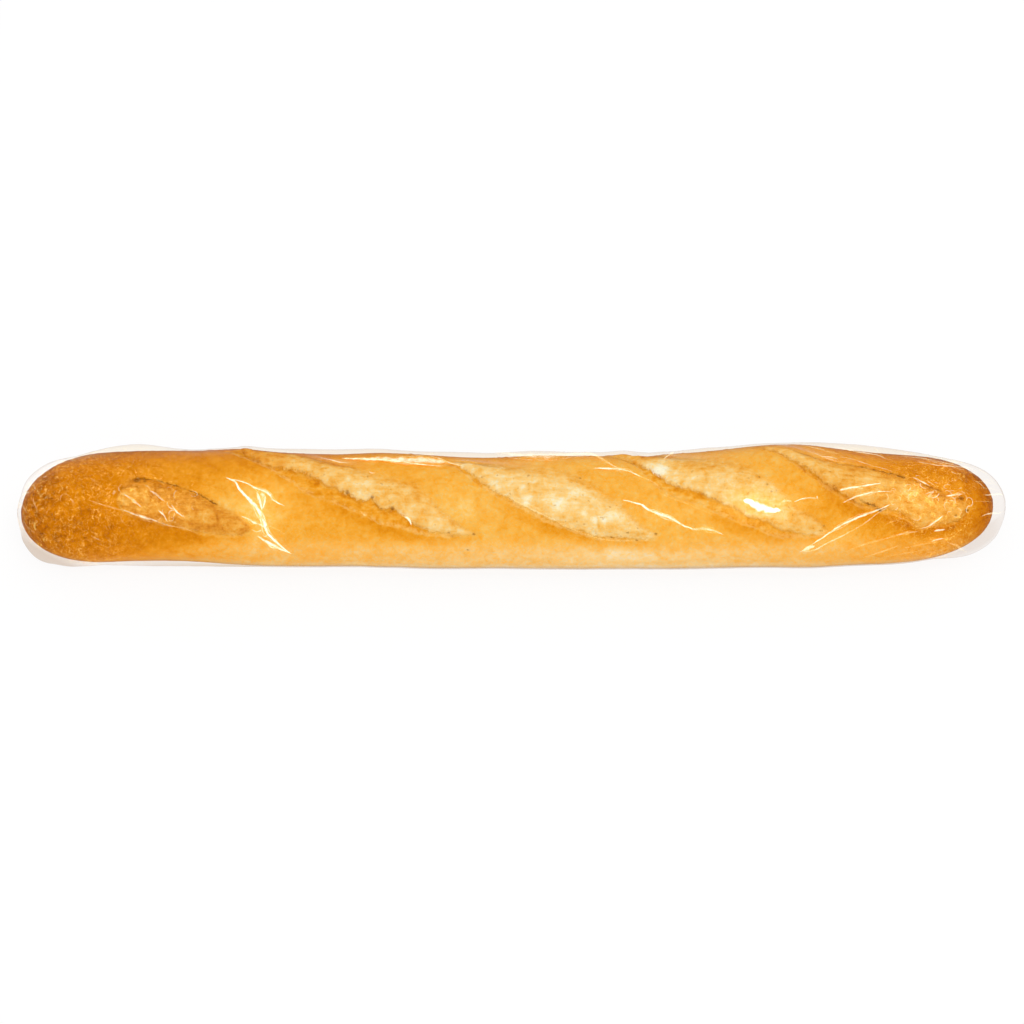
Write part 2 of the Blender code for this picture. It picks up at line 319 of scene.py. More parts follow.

# Creases of the film that catch the light, as seen, each drawn as a raised strip with a painted highlight:
# the points, the width in mm at the widest, how white the painted highlight is, and where along it the width is
# greatest.
CREASES = (
    # the bright crossing left of the middle
    (((226, 478), (235.5, 482.2), (242.2, 491.4), (250.3, 500), (256.6, 507.1), (262.4, 516.2), (265.8, 524.5), (268.5, 532.8), (276.5, 541.1), (284.8, 548.6), (293.5, 554)), 1.9, 1.0, 0.42),
    (((232, 480), (247.1, 483.9), (258.7, 489.8), (269.9, 494.7), (274.9, 501.3), (280.7, 504.6), (286.5, 507.6)), 1.3, 0.9, 0.6),
    (((257.5, 492), (260, 498), (262, 505), (263.4, 512)), 1.5, 0.85, 0.3),
    (((267, 496), (265.8, 503), (263.8, 511)), 1.2, 0.8, 0.3),
    (((260, 495), (264.5, 496.5), (263.5, 503)), 2.2, 0.6, 0.4),
    (((242.2, 516.6), (250, 519.8), (256.6, 523.7), (263.3, 526.2), (267, 530)), 1.3, 0.85, 0.5),
    (((258, 536), (266.6, 541.1), (274.9, 545.8), (283.2, 549.4), (292, 553.4)), 1.9, 0.95, 0.45),
    (((252, 529), (257, 532), (262, 531), (264, 528)), 0.7, 0.6, 0.5),
    (((262, 534), (267, 537), (269, 533), (265, 529)), 0.7, 0.7, 0.5),
    (((263, 526), (271, 527), (280, 531), (288, 536)), 0.6, 0.35, 0.3),
    # upper middle
    (((318, 461), (329.6, 463), (339.6, 465.9), (350, 466)), 1.5, 0.75, 0.5),
    (((369, 474), (372.7, 476.4), (377, 475.2)), 1.3, 0.6, 0.5),
    (((404, 517), (409.5, 519.8), (412.5, 526)), 1.3, 0.9, 0.5),
    (((398, 513), (405, 518)), 0.8, 0.6, 0.6),
    (((361, 511), (364, 515), (368, 517)), 0.8, 0.55, 0.5),
    (((494, 477), (499, 474), (505, 470.6)), 0.8, 0.4, 0.5),
    (((592.5, 469.4), (606, 469.9), (616, 469.6), (626, 471.1), (634, 474.4), (641, 478)), 1.4, 0.9, 0.3),
    (((634, 474), (641, 478), (649.2, 481.4), (659.2, 488)), 0.8, 0.4, 0.3),
    (((583, 457), (596, 460), (606, 463.4), (614, 467.5), (622, 470.4)), 1.1, 0.55, 0.6),
    (((674, 454.5), (668.5, 459.5), (662.5, 465)), 1.2, 0.6, 0.3),
    # the long one right of the middle
    (((621, 501.2), (631, 503), (640.9, 505.5), (645.9, 509.6), (655.8, 513.7), (667.4, 517.9), (675.7, 522), (682.4, 526.2), (692.3, 529.2)), 1.5, 0.95, 0.6),
    (((684, 526.5), (692.3, 529.4), (703.9, 529.2), (713.9, 531.4), (723, 535.6)), 1.5, 0.6, 0.45),
    # where the lamp shows
    (((741.5, 501.6), (748, 503.6), (754, 506), (760, 508.2), (767, 510.4), (773, 511.2), (779.5, 511.4)), 5.6, 1.5, 0.42),
    (((779, 504.4), (785, 502), (791, 502.8)), 1.7, 0.7, 0.4),
    (((791, 504), (799.6, 500), (806.7, 498.8), (815.6, 499.4)), 0.9, 0.75, 0.7),
    (((815, 496), (815.6, 500.4)), 0.7, 0.8, 0.5),
    # right of it
    (((836.5, 492.6), (848.8, 490.5), (861, 488.8), (869.8, 487.5), (880, 486.3)), 1.3, 0.9, 0.15),
    (((840, 503.7), (848.8, 500.2), (859.3, 497), (869.8, 494.9), (880.4, 494), (890, 494.6)), 1.0, 0.75, 0.4),
    (((797, 552.3), (804.9, 547.6), (813.7, 541.6), (824.2, 534.6), (838.2, 526.5), (852.3, 519.5), (866.3, 514.2), (878.6, 509.8), (888.4, 505.6)), 1.2, 0.85, 0.75),
    (((802, 551.6), (813.7, 549), (824.2, 543.2), (838.2, 537), (852.3, 530), (866.3, 521.2), (875, 514.2), (886, 508)), 0.9, 0.6, 0.2),
    (((801, 551), (807, 547.5), (814, 545)), 2.4, 0.9, 0.4),
    # along the top at the right
    (((806, 452.6), (812, 456), (818.9, 459), (827.7, 462.2), (838.2, 464.4), (849, 464.2)), 1.0, 0.6, 0.4),
    (((838, 457.2), (848.8, 459.4), (859.3, 462.9), (869.8, 467), (883.9, 470.8), (893, 474.4)), 0.9, 0.55, 0.4),
    (((800, 446.4), (818.9, 449.6), (831.2, 452.8), (842, 455)), 1.0, 0.5, 0.3),
    (((820, 459.6), (829, 459), (838, 461.6)), 1.2, 0.7, 0.5),
    (((873.3, 451), (880.4, 454.6), (885.6, 460.7)), 0.7, 0.4, 0.4),
    (((846, 449.6), (864, 452), (884, 455.6)), 0.8, 0.4, 0.4),
    (((909.5, 478.3), (920.7, 484.4), (928.5, 488.4)), 1.1, 0.8, 0.4),
    (((924, 482), (934, 488)), 0.6, 0.5, 0.4),
    (((929.5, 461.6), (941.8, 466), (954, 471.2), (966.3, 476.5)), 0.9, 0.5, 0.5),
    (((900, 452.6), (918, 457.6), (936, 464)), 0.8, 0.35, 0.5),
    # the right end
    (((942, 498.6), (949, 497.4), (955.8, 496.7), (961, 496.4)), 1.2, 0.85, 0.4),
    (((917, 528.6), (926, 525.8), (931, 522), (934.7, 519.5), (939.5, 515.6)), 1.1, 0.8, 0.6),
    (((930.5, 531.2), (938.2, 530), (943, 529)), 1.3, 0.9, 0.5),
    (((888, 536.6), (903.2, 533.5), (917.2, 530.9)), 1.1, 0.5, 0.6),
    (((843, 551.6), (862.8, 544), (880.4, 539.6), (897, 535.4)), 1.1, 0.4, 0.5),
    (((861, 557), (880.4, 551), (898.5, 544.6)), 1.0, 0.45, 0.5),
    (((928.5, 541.8), (935, 539.4), (942.4, 537.6)), 1.2, 0.7, 0.5),
    (((943.5, 540.5), (954, 544), (963, 546)), 1.0, 0.55, 0.4),
    (((974, 516.4), (982.1, 513.3), (991, 511.4)), 0.9, 0.6, 0.5),
    (((976, 498.3), (984, 498.2), (991.5, 498.9)), 0.9, 0.6, 0.5),
    (((968, 484), (975, 488.5), (979, 494)), 0.8, 0.45, 0.5),
    (((951, 508), (956, 512), (953, 517), (947, 516)), 0.7, 0.5, 0.5),
    (((958, 492), (962, 500), (959, 507)), 0.8, 0.4, 0.5),
    (((880, 527), (893, 521), (903, 519)), 0.7, 0.3, 0.5),
    (((921, 497), (931, 494), (925, 499), (933, 497.5)), 0.8, 0.6, 0.5),
    (((903, 497), (908, 503), (914, 500)), 1.0, 0.6, 0.5),
    # curls over the first slash
    (((150, 492), (156, 494.7), (161.8, 499.7), (167.5, 503.4)), 1.0, 0.75, 0.6),
    (((172.5, 505), (178.4, 512.4), (188, 518.6)), 0.9, 0.9, 0.5),
    (((159.4, 510.6), (165.1, 515.4), (169.8, 522)), 0.9, 0.8, 0.4),
    (((125, 495.6), (134.4, 501.3), (144, 509)), 1.0, 0.7, 0.5),
    (((133, 500), (138.5, 507)), 0.8, 0.6, 0.5),
    (((124, 510.6), (136.1, 514.6), (146, 517.9), (156, 520.6), (163, 523.4)), 1.1, 0.75, 0.5),
    (((160, 522.4), (171, 525.6), (184.2, 528), (194.1, 531.2)), 0.8, 0.5, 0.3),
    (((146, 486), (151.8, 490.6), (152, 496)), 0.7, 0.5, 0.5),
    (((124.5, 484.6), (120.6, 490), (124.5, 497)), 0.7, 0.45, 0.5),
    (((90, 501), (96.3, 503), (109.5, 507.1), (119.5, 509.6), (127, 511.8)), 0.7, 0.4, 0.6),
    (((113.5, 493.4), (118.5, 493.8)), 2.2, 0.5, 0.5),
    (((92, 535.6), (103, 540.6)), 0.7, 0.45, 0.5),
    (((122, 515), (124, 521), (128, 526)), 0.6, 0.35, 0.5),
    (((64, 504), (62.5, 499), (66, 495), (71, 497), (74, 502)), 0.6, 0.4, 0.5),
    (((72, 499), (78, 506)), 0.6, 0.4, 0.5),
    (((90, 478), (99, 484)), 0.5, 0.35, 0.5),
    # facets at the left tip
    (((24.5, 497.5), (28.5, 495), (33, 493.4)), 1.2, 0.75, 0.5),
    (((30, 489), (36, 487.5), (37.5, 492)), 0.9, 0.55, 0.5),
    (((24.5, 506), (28, 510), (30.5, 515)), 0.9, 0.5, 0.5),
    (((35, 499), (38, 507), (41.5, 514)), 0.7, 0.4, 0.5),
    (((44, 478.4), (48.5, 478)), 1.4, 0.6, 0.5),
    (((27, 520), (31, 527), (38, 533)), 0.9, 0.4, 0.5),
    # along the top edge from the left: the film bridges over the loaf's back
    (((44, 473), (60, 464), (80, 456), (100, 452.6), (120, 451)), 0.9, 0.45, 0.4),
    (((341, 459.6), (357.8, 459.9), (374.4, 460.7), (391, 461.5), (407.5, 463.2), (424.1, 465.2), (443.5, 467)), 1.5, 0.85, 0.5),
    (((343, 459.8), (370, 460), (395, 460.4), (420, 461), (436, 461.8), (448, 463)), 8.6, 0.74, 0.84),
    (((395, 458), (415, 457.4), (438, 456)), 0.8, 0.5, 0.6),
    (((428, 457), (440, 459.5), (449, 463.2), (463, 469)), 1.0, 0.6, 0.3),
    (((452, 461), (468, 465), (484, 472)), 0.8, 0.3, 0.3),
    (((494, 457.4), (520, 458.2), (545, 458.8), (570, 459), (590, 459.4), (606, 462)), 6.5, 0.55, 0.5),
    (((492, 457.6), (512, 459.6), (532, 461), (553, 461.6), (577, 460.6), (596, 461)), 0.7, 0.5, 0.4),
    (((512, 455), (540, 454.6), (570, 456.6), (590, 459)), 0.7, 0.45, 0.5),
    # light lines along the third slash's torn edge
    (((503, 496), (515, 502.4), (527, 508.4), (540, 514.4), (552, 519.6), (564, 525.6)), 0.6, 0.42, 0.5),
    (((510, 496.4), (522, 502.6), (535, 509), (548, 515)), 0.5, 0.32, 0.4),
    (((560, 524.6), (575, 530.4), (592, 536), (610, 540), (622, 540.4), (637, 539.6)), 0.6, 0.40, 0.6),
    (((655, 492), (668, 498.5), (684, 504), (700, 510.5), (716, 517)), 0.5, 0.30, 0.6),
    # more of them along the top at the right
    (((833, 448.6), (857, 452.8), (878, 455.6), (887, 459.6)), 1.0, 0.78, 0.4),
    (((915, 462.4), (937, 467), (957, 470.6), (974, 477)), 0.9, 0.75, 0.5),
    (((898, 456.4), (925, 459.6), (947, 466), (968, 475)), 0.7, 0.70, 0.5),
    (((968, 470.6), (978, 478), (986, 488)), 0.8, 0.45, 0.5),
    (((948, 473), (953, 476.4), (960, 477)), 0.8, 0.55, 0.5),
    (((970, 486), (978, 487), (985, 490)), 0.5, 0.40, 0.5),
    (((972, 492), (980, 492.6), (988, 495)), 0.5, 0.35, 0.5),
    (((968, 503), (978, 503.4), (988, 504.6)), 0.5, 0.35, 0.5),
    (((902, 548), (918, 544.6), (936, 541.6)), 0.8, 0.40, 0.5),
    (((880, 556.4), (905, 552.4), (930, 548)), 0.7, 0.32, 0.5),
)

# small curls of crumpled film, drawn with a painted highlight, as seen: the middle of a cluster, its half
# widths, how many, and how white the painted highlight is at the most
CURLS = (
    (926, 500, 40, 22, 30, 0.75),
    (948, 506, 18, 16, 12, 0.70),
    (33, 493, 10, 10, 6, 0.60),
    (166, 505, 34, 18, 26, 0.62),
    (898, 497, 18, 12, 16, 0.70),
    (958, 488, 14, 14, 8, 0.60),
    (80, 500, 34, 26, 10, 0.32),
    (975, 482, 10, 14, 8, 0.50),
)


def curl_lines():
    """Arcs and loops scattered over each cluster, always the same."""
    made = []
    for number, (u, v, half_u, half_v, count, white) in enumerate(CURLS):
        middle = seen([(u, v)])[0] * np.array([1.0, MM_PER_DEGREE])
        for k in range(count):
            r = _hash(np.full(8, k), np.full(8, number), np.arange(8), 900) / 2.0 ** 32
            turn = 2 * math.pi * r[0]
            out = math.sqrt(r[1])
            place = middle + out * VIEW_UNIT * np.array([half_u * math.cos(turn), half_v * math.sin(turn)])
            size = 0.9 + 1.9 * r[2]
            sweep = math.radians(110 + 190 * r[3])
            a = 2 * math.pi * r[4] + np.linspace(0, sweep, 9)
            lean = math.pi * r[5]
            grow = np.linspace(1.0, 0.6 + 0.6 * r[6], 9)
            arc = np.stack([size * grow * np.cos(a), 0.62 * size * grow * np.sin(a)], axis=1)
            spun = np.stack([arc[:, 0] * math.cos(lean) - arc[:, 1] * math.sin(lean), arc[:, 0] * math.sin(lean) + arc[:, 1] * math.cos(lean)], axis=1)
            made.append((smooth_path(place + spun, 0.7), 0.45 + 0.45 * r[7], white * (0.45 + 0.55 * r[2]), 0.3 + 0.4 * r[3]))
    return made


# painted sheen: where the lamp's soft reflection in the film's many fine wrinkles is painted on as a hazy
# brightening, as seen
PAINTED_SHEENS = (
    (262, 508, 26, 30, 0.07), (764, 507, 30, 14, 0.16), (742, 502, 20, 12, 0.08), (924, 500, 34, 18, 0.06),
    (424, 459, 30, 5, 0.05), (830, 538, 34, 12, 0.03), (660, 516, 30, 12, 0.03), (182, 507, 26, 14, 0.035),
)


def painted_sheen_field(x, degrees):
    found = np.zeros_like(x)
    for u, v, half_u, half_v, amount in PAINTED_SHEENS:
        at, turn = seen([(u, v)])[0]
        far = ((x - at) / (half_u * VIEW_UNIT)) ** 2 + ((degrees - turn) * MM_PER_DEGREE / (half_v * VIEW_UNIT)) ** 2
        found = found + amount * np.exp(-1.1 * far)
    return found


FLAT = {}


def edges_of(slash):
    """The slash's three edges as (x, degrees) curves."""
    if id(slash) not in FLAT:
        made = {}
        for name in ("back", "front", "outer"):
            line = seen(slash[name])
            if slash["start"]:
                line = np.concatenate([[slash["start"]], line])
            made[name] = line
        FLAT[id(slash)] = made
    return FLAT[id(slash)]


def slash_fields(x, degrees, p):
    """For every point: relief in mm, masks of the torn crumb, its band, the
    shade under it, and how far in mm it lies inside the torn edge (edge) and
    below the lip of the band (below), which the material draws sharply."""
    names = ("relief", "crumb", "band", "lip", "shade", "crease", "pale", "across")
    fields = {name: np.zeros_like(x) for name in names}
    fields["edge"] = np.full_like(x, -8.0)
    fields["below"] = np.full_like(x, 8.0)
    ragged = 1.2 * noise(p, 7.0, 3) + 1.1 * noise(p, 3.2, 5)
    soft = 3.0 * noise(p, 11.0, 7) + 1.6 * noise(p, 4.5, 9)
    lumps = layered(p, 11.0, 11, 3, 0.55)
    grit = noise(p, 2.2, 19)
    for number, slash in enumerate(SLASHES):
        edges = edges_of(slash)
        back_line, front_line, outer_line = edges["back"], edges["front"], edges["outer"]
        x0, x1 = front_line[0, 0], front_line[-1, 0]
        near = (x > x0 - 4) & (x < x1 + 14) & (degrees > -5) & (degrees < 185)
        if not near.any():
            continue
        xs, deg = x[near], degrees[near]
        back = curve_through(xs, back_line[:, 0], back_line[:, 1]) * MM_PER_DEGREE
        front = curve_through(xs, front_line[:, 0], front_line[:, 1]) * MM_PER_DEGREE
        outer = curve_through(xs, outer_line[:, 0], outer_line[:, 1]) * MM_PER_DEGREE
        lean = (front_line[-1, 1] - front_line[0, 1]) * MM_PER_DEGREE / (x1 - x0)
        square = 1 / math.sqrt(1 + lean * lean)  # from along the section to across the line
        w = deg * MM_PER_DEGREE
        front = front + ragged[near] * (0.8 if number else 0.5)
        outer = np.maximum(outer + 0.5 * ragged[near], front + 0.4)
        back = np.minimum(back + 0.6 * soft[near], front - 0.1)
        width = np.maximum(front - back, 0.2)
        across = (w - back) / width
        along = (xs - x0) / (x1 - x0)
        ends = step(0.0, 0.05, along) * step(0.0, 0.06, 1 - along)
        body = step(1.0, 9.0, width) * ends
        up = step(-0.02, 0.5, across)
        inside = step(-0.16, 0.26, across + 0.05 * grit[near])
        drop = step(-0.5, 2.2 + slash["soft"], front - w)
        dark = slash["dark"] * (1 - step(slash["dark_to"] - 0.12, slash["dark_to"] + 0.12, along))
        # risen crumb, fullest towards the torn edge
        height = slash["rise"] * up * drop * body * (1 + 0.30 * lumps[near] + 0.10 * grit[near])
        # the band lies lower than the crust and ends in a thin torn lip
        in_band = step(-0.3, 0.4, w - front) * step(-0.3, 0.4, outer - w) * ends
        wide_band = step(1.0, 4.0, outer - front)
        height = height - in_band * (0.25 + 0.60 * wide_band) * (1 - 0.3 * lumps[near])
        at_lip = bell(w - outer, 0.8) * ends * step(0.02, 0.12, along)
        height = height + 0.42 * at_lip * (0.7 + 0.8 * grit[near])
        at_crease = bell(w - front - 0.5, 0.8) * ends
        height = height - 0.55 * at_crease * (1 + 0.8 * grit[near]) * (0.15 + 0.85 * dark)
        relief = fields["relief"]
        relief[near] = np.where(np.abs(height) > np.abs(relief[near]), height, relief[near])
        crumb = inside * step(0.4, 4.0, width) * ends
        here = crumb * (w < front + 1.5)
        taken = here > fields["crumb"][near]
        for name, value in (("pale", np.full_like(xs, slash["pale"])), ("across", np.clip(across, 0, 1))):
            fields[name][near] = np.where(taken, value, fields[name][near])
        fields["crumb"][near] = np.maximum(fields["crumb"][near], here)
        fields["band"][near] = np.maximum(fields["band"][near], in_band * (0.35 + 0.65 * wide_band))
        # sharp lines, drawn by the material from these distances
        edge = np.clip((front - w) * square, -8.0, 8.0)
        within = (along > -0.02) & (along < 1.02)
        so_far = fields["edge"][near]
        closer = (np.abs(edge) < np.abs(so_far)) | ((edge > 0) & (across > -0.6) & (so_far <= -7.9))
        fields["edge"][near] = np.where(closer & within, edge, so_far)
        below = (w - outer) * square
        closer = (np.abs(below) < np.abs(fields["below"][near])) & within
        fields["below"][near] = np.where(closer, below, fields["below"][near])
        strong = slash["lip"]
        fields["lip"][near] = np.maximum(
            fields["lip"][near],
            bell(w - outer, 4.0) * step(0.0, 0.10, along) * step(0.0, 0.14, 1 - along) * strong,
        )
        fields["crease"][near] = np.maximum(
            fields["crease"][near],
            bell(w - front, 4.0) * step(0.03, 0.2, along) * step(0.0, 0.1, 1 - along) * dark,
        )
        under = step(-0.2, 1.0, w - outer) * (1 - step(2.5, 10.5, w - outer + 2.0 * lumps[near]))
        fields["shade"][near] = np.maximum(
            fields["shade"][near], under * step(0.25, 0.6, along) * step(0.0, 0.12, 1 - along)
        )
    return fields


def hole_field(x, degrees):
    """Depth of the small holes, which also sets the painted shade in them."""
    depth = np.zeros_like(x)
    places = seen([(u, v) for u, v, _ in HOLES])
    for (at, turn), (_, _, radius) in zip(places, HOLES):
        near = (np.abs(x - at) < 5) & (np.abs(degrees - turn) < 12)
        far = np.hypot((x[near] - at) * 0.75, (degrees[near] - turn) * MM_PER_DEGREE)
        depth[near] = np.maximum(depth[near], np.clip(radius / 1.1, 0.3, 1.3) * bell(far, radius))
    return depth


def crack_field(x, degrees):
    """Signed distance in mm to the nearest dark crack, and how strong it is."""
    away = np.full_like(x, 8.0)
    strength = np.zeros_like(x)
    for points, amount in CRACKS:
        line = seen(points)
        inside = (x > line[0, 0]) & (x < line[-1, 0]) & (degrees > -5) & (degrees < 190)
        at = curve_through(x[inside], line[:, 0], line[:, 1])
        along = (x[inside] - line[0, 0]) / (line[-1, 0] - line[0, 0])
        far = (degrees[inside] - at) * MM_PER_DEGREE * 0.85
        closer = np.abs(far) < np.abs(away[inside])
        away[inside] = np.where(closer, far, away[inside])
        fade = step(0, 0.12, along) * step(0, 0.12, 1 - along) * amount
        strength[inside] = np.where(closer, fade, strength[inside])
    return away, strength


def loaf_relief(x, degrees, base):
    """Everything that stands off the plain loaf form, in mm, and the masks."""
    fields = slash_fields(x, degrees, base)
    upper = step(-0.35, 0.5, np.sin(np.radians(degrees)))
    on_crust = 1 - fields["crumb"]
    relief = fields["relief"].copy()
    relief += 0.55 * layered(base, 46.0, 41, 2) * (0.4 + 0.6 * upper)
    relief += 0.20 * layered(base, 12.0, 43, 3) * (0.5 + 0.5 * upper)
    start, full, angle, half_angle, depth = BACK_LOW
    relief -= depth * step(start, full, x) * bell(degrees - angle, half_angle)
    for at, half_length, angle, half_angle, height in LOAF_LOBES:
        relief += height * bell(x - at, half_length) * bell(degrees - angle, half_angle)
    # crust between the slashes sinks a little, and bears small blisters
    tips = step(-262, -228, x) * (1 - step(238, 266, x))
    relief -= 0.6 * tips * step(0.35, 0.85, np.cos(np.radians(degrees - 95))) * on_crust * (1 - fields["band"])
    blisters = np.maximum(noise(base, 2.9, 47) - 0.30, 0) * 0.7
    relief += blisters * on_crust * upper
    relief += 0.11 * noise(base, 1.9, 53) * (0.5 + 0.7 * fields["crumb"])
    # torn crumb: short fibres along the slash
    turned = np.stack([base[..., 0] * 0.89 - base[..., 1] * 0.45, base[..., 0] * 0.45 + base[..., 1] * 0.89, base[..., 2]], axis=-1)
    fibres = noise(turned * np.array([0.28, 1, 1]), 2.6, 57)
    relief += fields["crumb"] * (0.20 * fibres + 0.16 * noise(base, 5.0, 58))
    # crumpled crumb at the right end of the last slash
    crumple = bell(x - 243, 26) * fields["crumb"]
    relief += crumple * (0.85 * layered(base, 5.5, 59, 2) - 0.45 * np.abs(noise(base, 4.0, 61)))
    # small seams on the side just above the base
    relief += 0.14 * noise(base * np.array([0.18, 1, 1]), 3.2, 67) * step(146, 168, degrees) * (1 - step(212, 226, degrees))
    holes = hole_field(x, degrees)
    relief -= holes
    away, strength = crack_field(x, degrees)
    relief -= 0.5 * bell(away, 0.8) * strength
    relief += 0.3 * bell(away - 1.7, 1.2) * strength
    fields["holes"] = holes
    fields["upper"] = upper
    fields["crack"], fields["cracked"] = away, strength
    fields["fibres"] = fibres
    return relief, fields


# ---------------------------------------------------------------------------
# colours
# ---------------------------------------------------------------------------
def srgb(code):
    c = np.array([int(code[i:i + 2], 16) / 255 for i in (0, 2, 4)])
    return np.where(c <= 0.04045, c / 12.92, ((c + 0.055) / 1.055) ** 2.4)


# from pale to deeply baked
CRUST_RAMP = (
    (0.0, "f8e4ac"), (0.14, "f7d181"), (0.30, "f5ba54"), (0.44, "f2a836"), (0.56, "e9971c"),
    (0.68, "da8406"), (0.80, "c97300"), (0.90, "b16003"), (1.0, "8a4805"),
)
CRUMB_RAMP = (
    (0.0, "f9f0d0"), (0.14, "f8e2ad"), (0.28, "f7cf86"), (0.42, "f4be65"), (0.56, "eda945"),
    (0.70, "e1932d"), (0.84, "c8771d"), (1.0, "985414"),
)


def mix(a, b, amount):
    return a + (b - a) * np.asarray(amount)[..., None]


BAKE_STATIONS = np.array((
    (-278.0, 0.93), (-268.0, 0.85), (-250.0, 0.775), (-225.0, 0.715), (-205.0, 0.65), (-188.0, 0.585), (-170.0, 0.54),
    (-150.0, 0.49), (-125.0, 0.46), (-90.0, 0.445), (-40.0, 0.41), (10.0, 0.385), (60.0, 0.365), (110.0, 0.375), (150.0, 0.43),
    (190.0, 0.51), (220.0, 0.59), (245.0, 0.66), (262.0, 0.77), (273.0, 0.92),
))


# paler places in the crust, as seen: the middle, the half widths and how much
PALE_PLACES = (
    (230, 506, 32, 20, 0.12), (266, 516, 24, 26, 0.14), (366, 488, 18, 12, 0.10),
    (456, 506, 24, 20, 0.16), (616, 556, 34, 10, 0.16), (710, 510, 18, 10, 0.08), (968, 508, 16, 16, 0.12), (872, 508, 14, 10, 0.10),
    (410, 521, 22, 8, -0.06), (690, 546, 80, 7, -0.07), (815, 546, 24, 8, 0.10), (845, 532, 16, 8, 0.10), (904, 474, 22, 10, -0.09),
    (245, 468, 26, 12, -0.06), (290, 480, 24, 8, -0.05), (42, 486, 12, 9, -0.12), (42, 530, 14, 12, 0.09), (202, 532, 18, 8, 0.09),
    (240, 508, 20, 10, 0.05),
)


# paler, floury places in the torn crumb, partly painted highlight where the film shines over it, likewise, and
# browner ones below zero
CREAM_PLACES = (
    (527, 499, 8, 4, 0.30), (555, 502, 15, 5, 0.26), (579, 494, 18, 5, 0.24), (588, 512, 12, 7, 0.24), (656, 474, 12, 6, 1.0), (645, 460, 14, 6, -0.55), (694, 470, 24, 6, -0.42), (328, 469, 16, 6, -0.30), (362, 497, 12, 6, 0.25),
    (614, 514, 12, 6, 0.18), (508, 484, 12, 6, 0.14), (724, 492, 18, 8, 0.16), (776, 494, 14, 8, 0.22), (778, 514, 14, 6, 0.26),
    (412, 514, 8, 5, 0.22), (360, 482, 12, 6, 0.10), (400, 490, 16, 8, 0.10),
)


def cream_places(x, degrees, p):
    return pale_places(x, degrees, p, CREAM_PLACES, 0.4)


def pale_places(x, degrees, p, places=PALE_PLACES, wander=1.0):
    found = np.zeros_like(x)
    shift = wander * 3.0 * noise(p, 9.0, 85)
    turned = wander * 3.0 * noise(p, 8.0, 86)
    for u, v, half_u, half_v, amount in places:
        at, turn = seen([(u, v)])[0]
        far = ((x - at + shift) / (half_u * VIEW_UNIT)) ** 2
        far = far + (((degrees - turn) * MM_PER_DEGREE + turned) / (half_v * VIEW_UNIT)) ** 2
        found = found + amount * np.exp(-0.8 * far)
    return found


def place_bake(x):
    return curve_through(x, BAKE_STATIONS[:, 0], BAKE_STATIONS[:, 1])


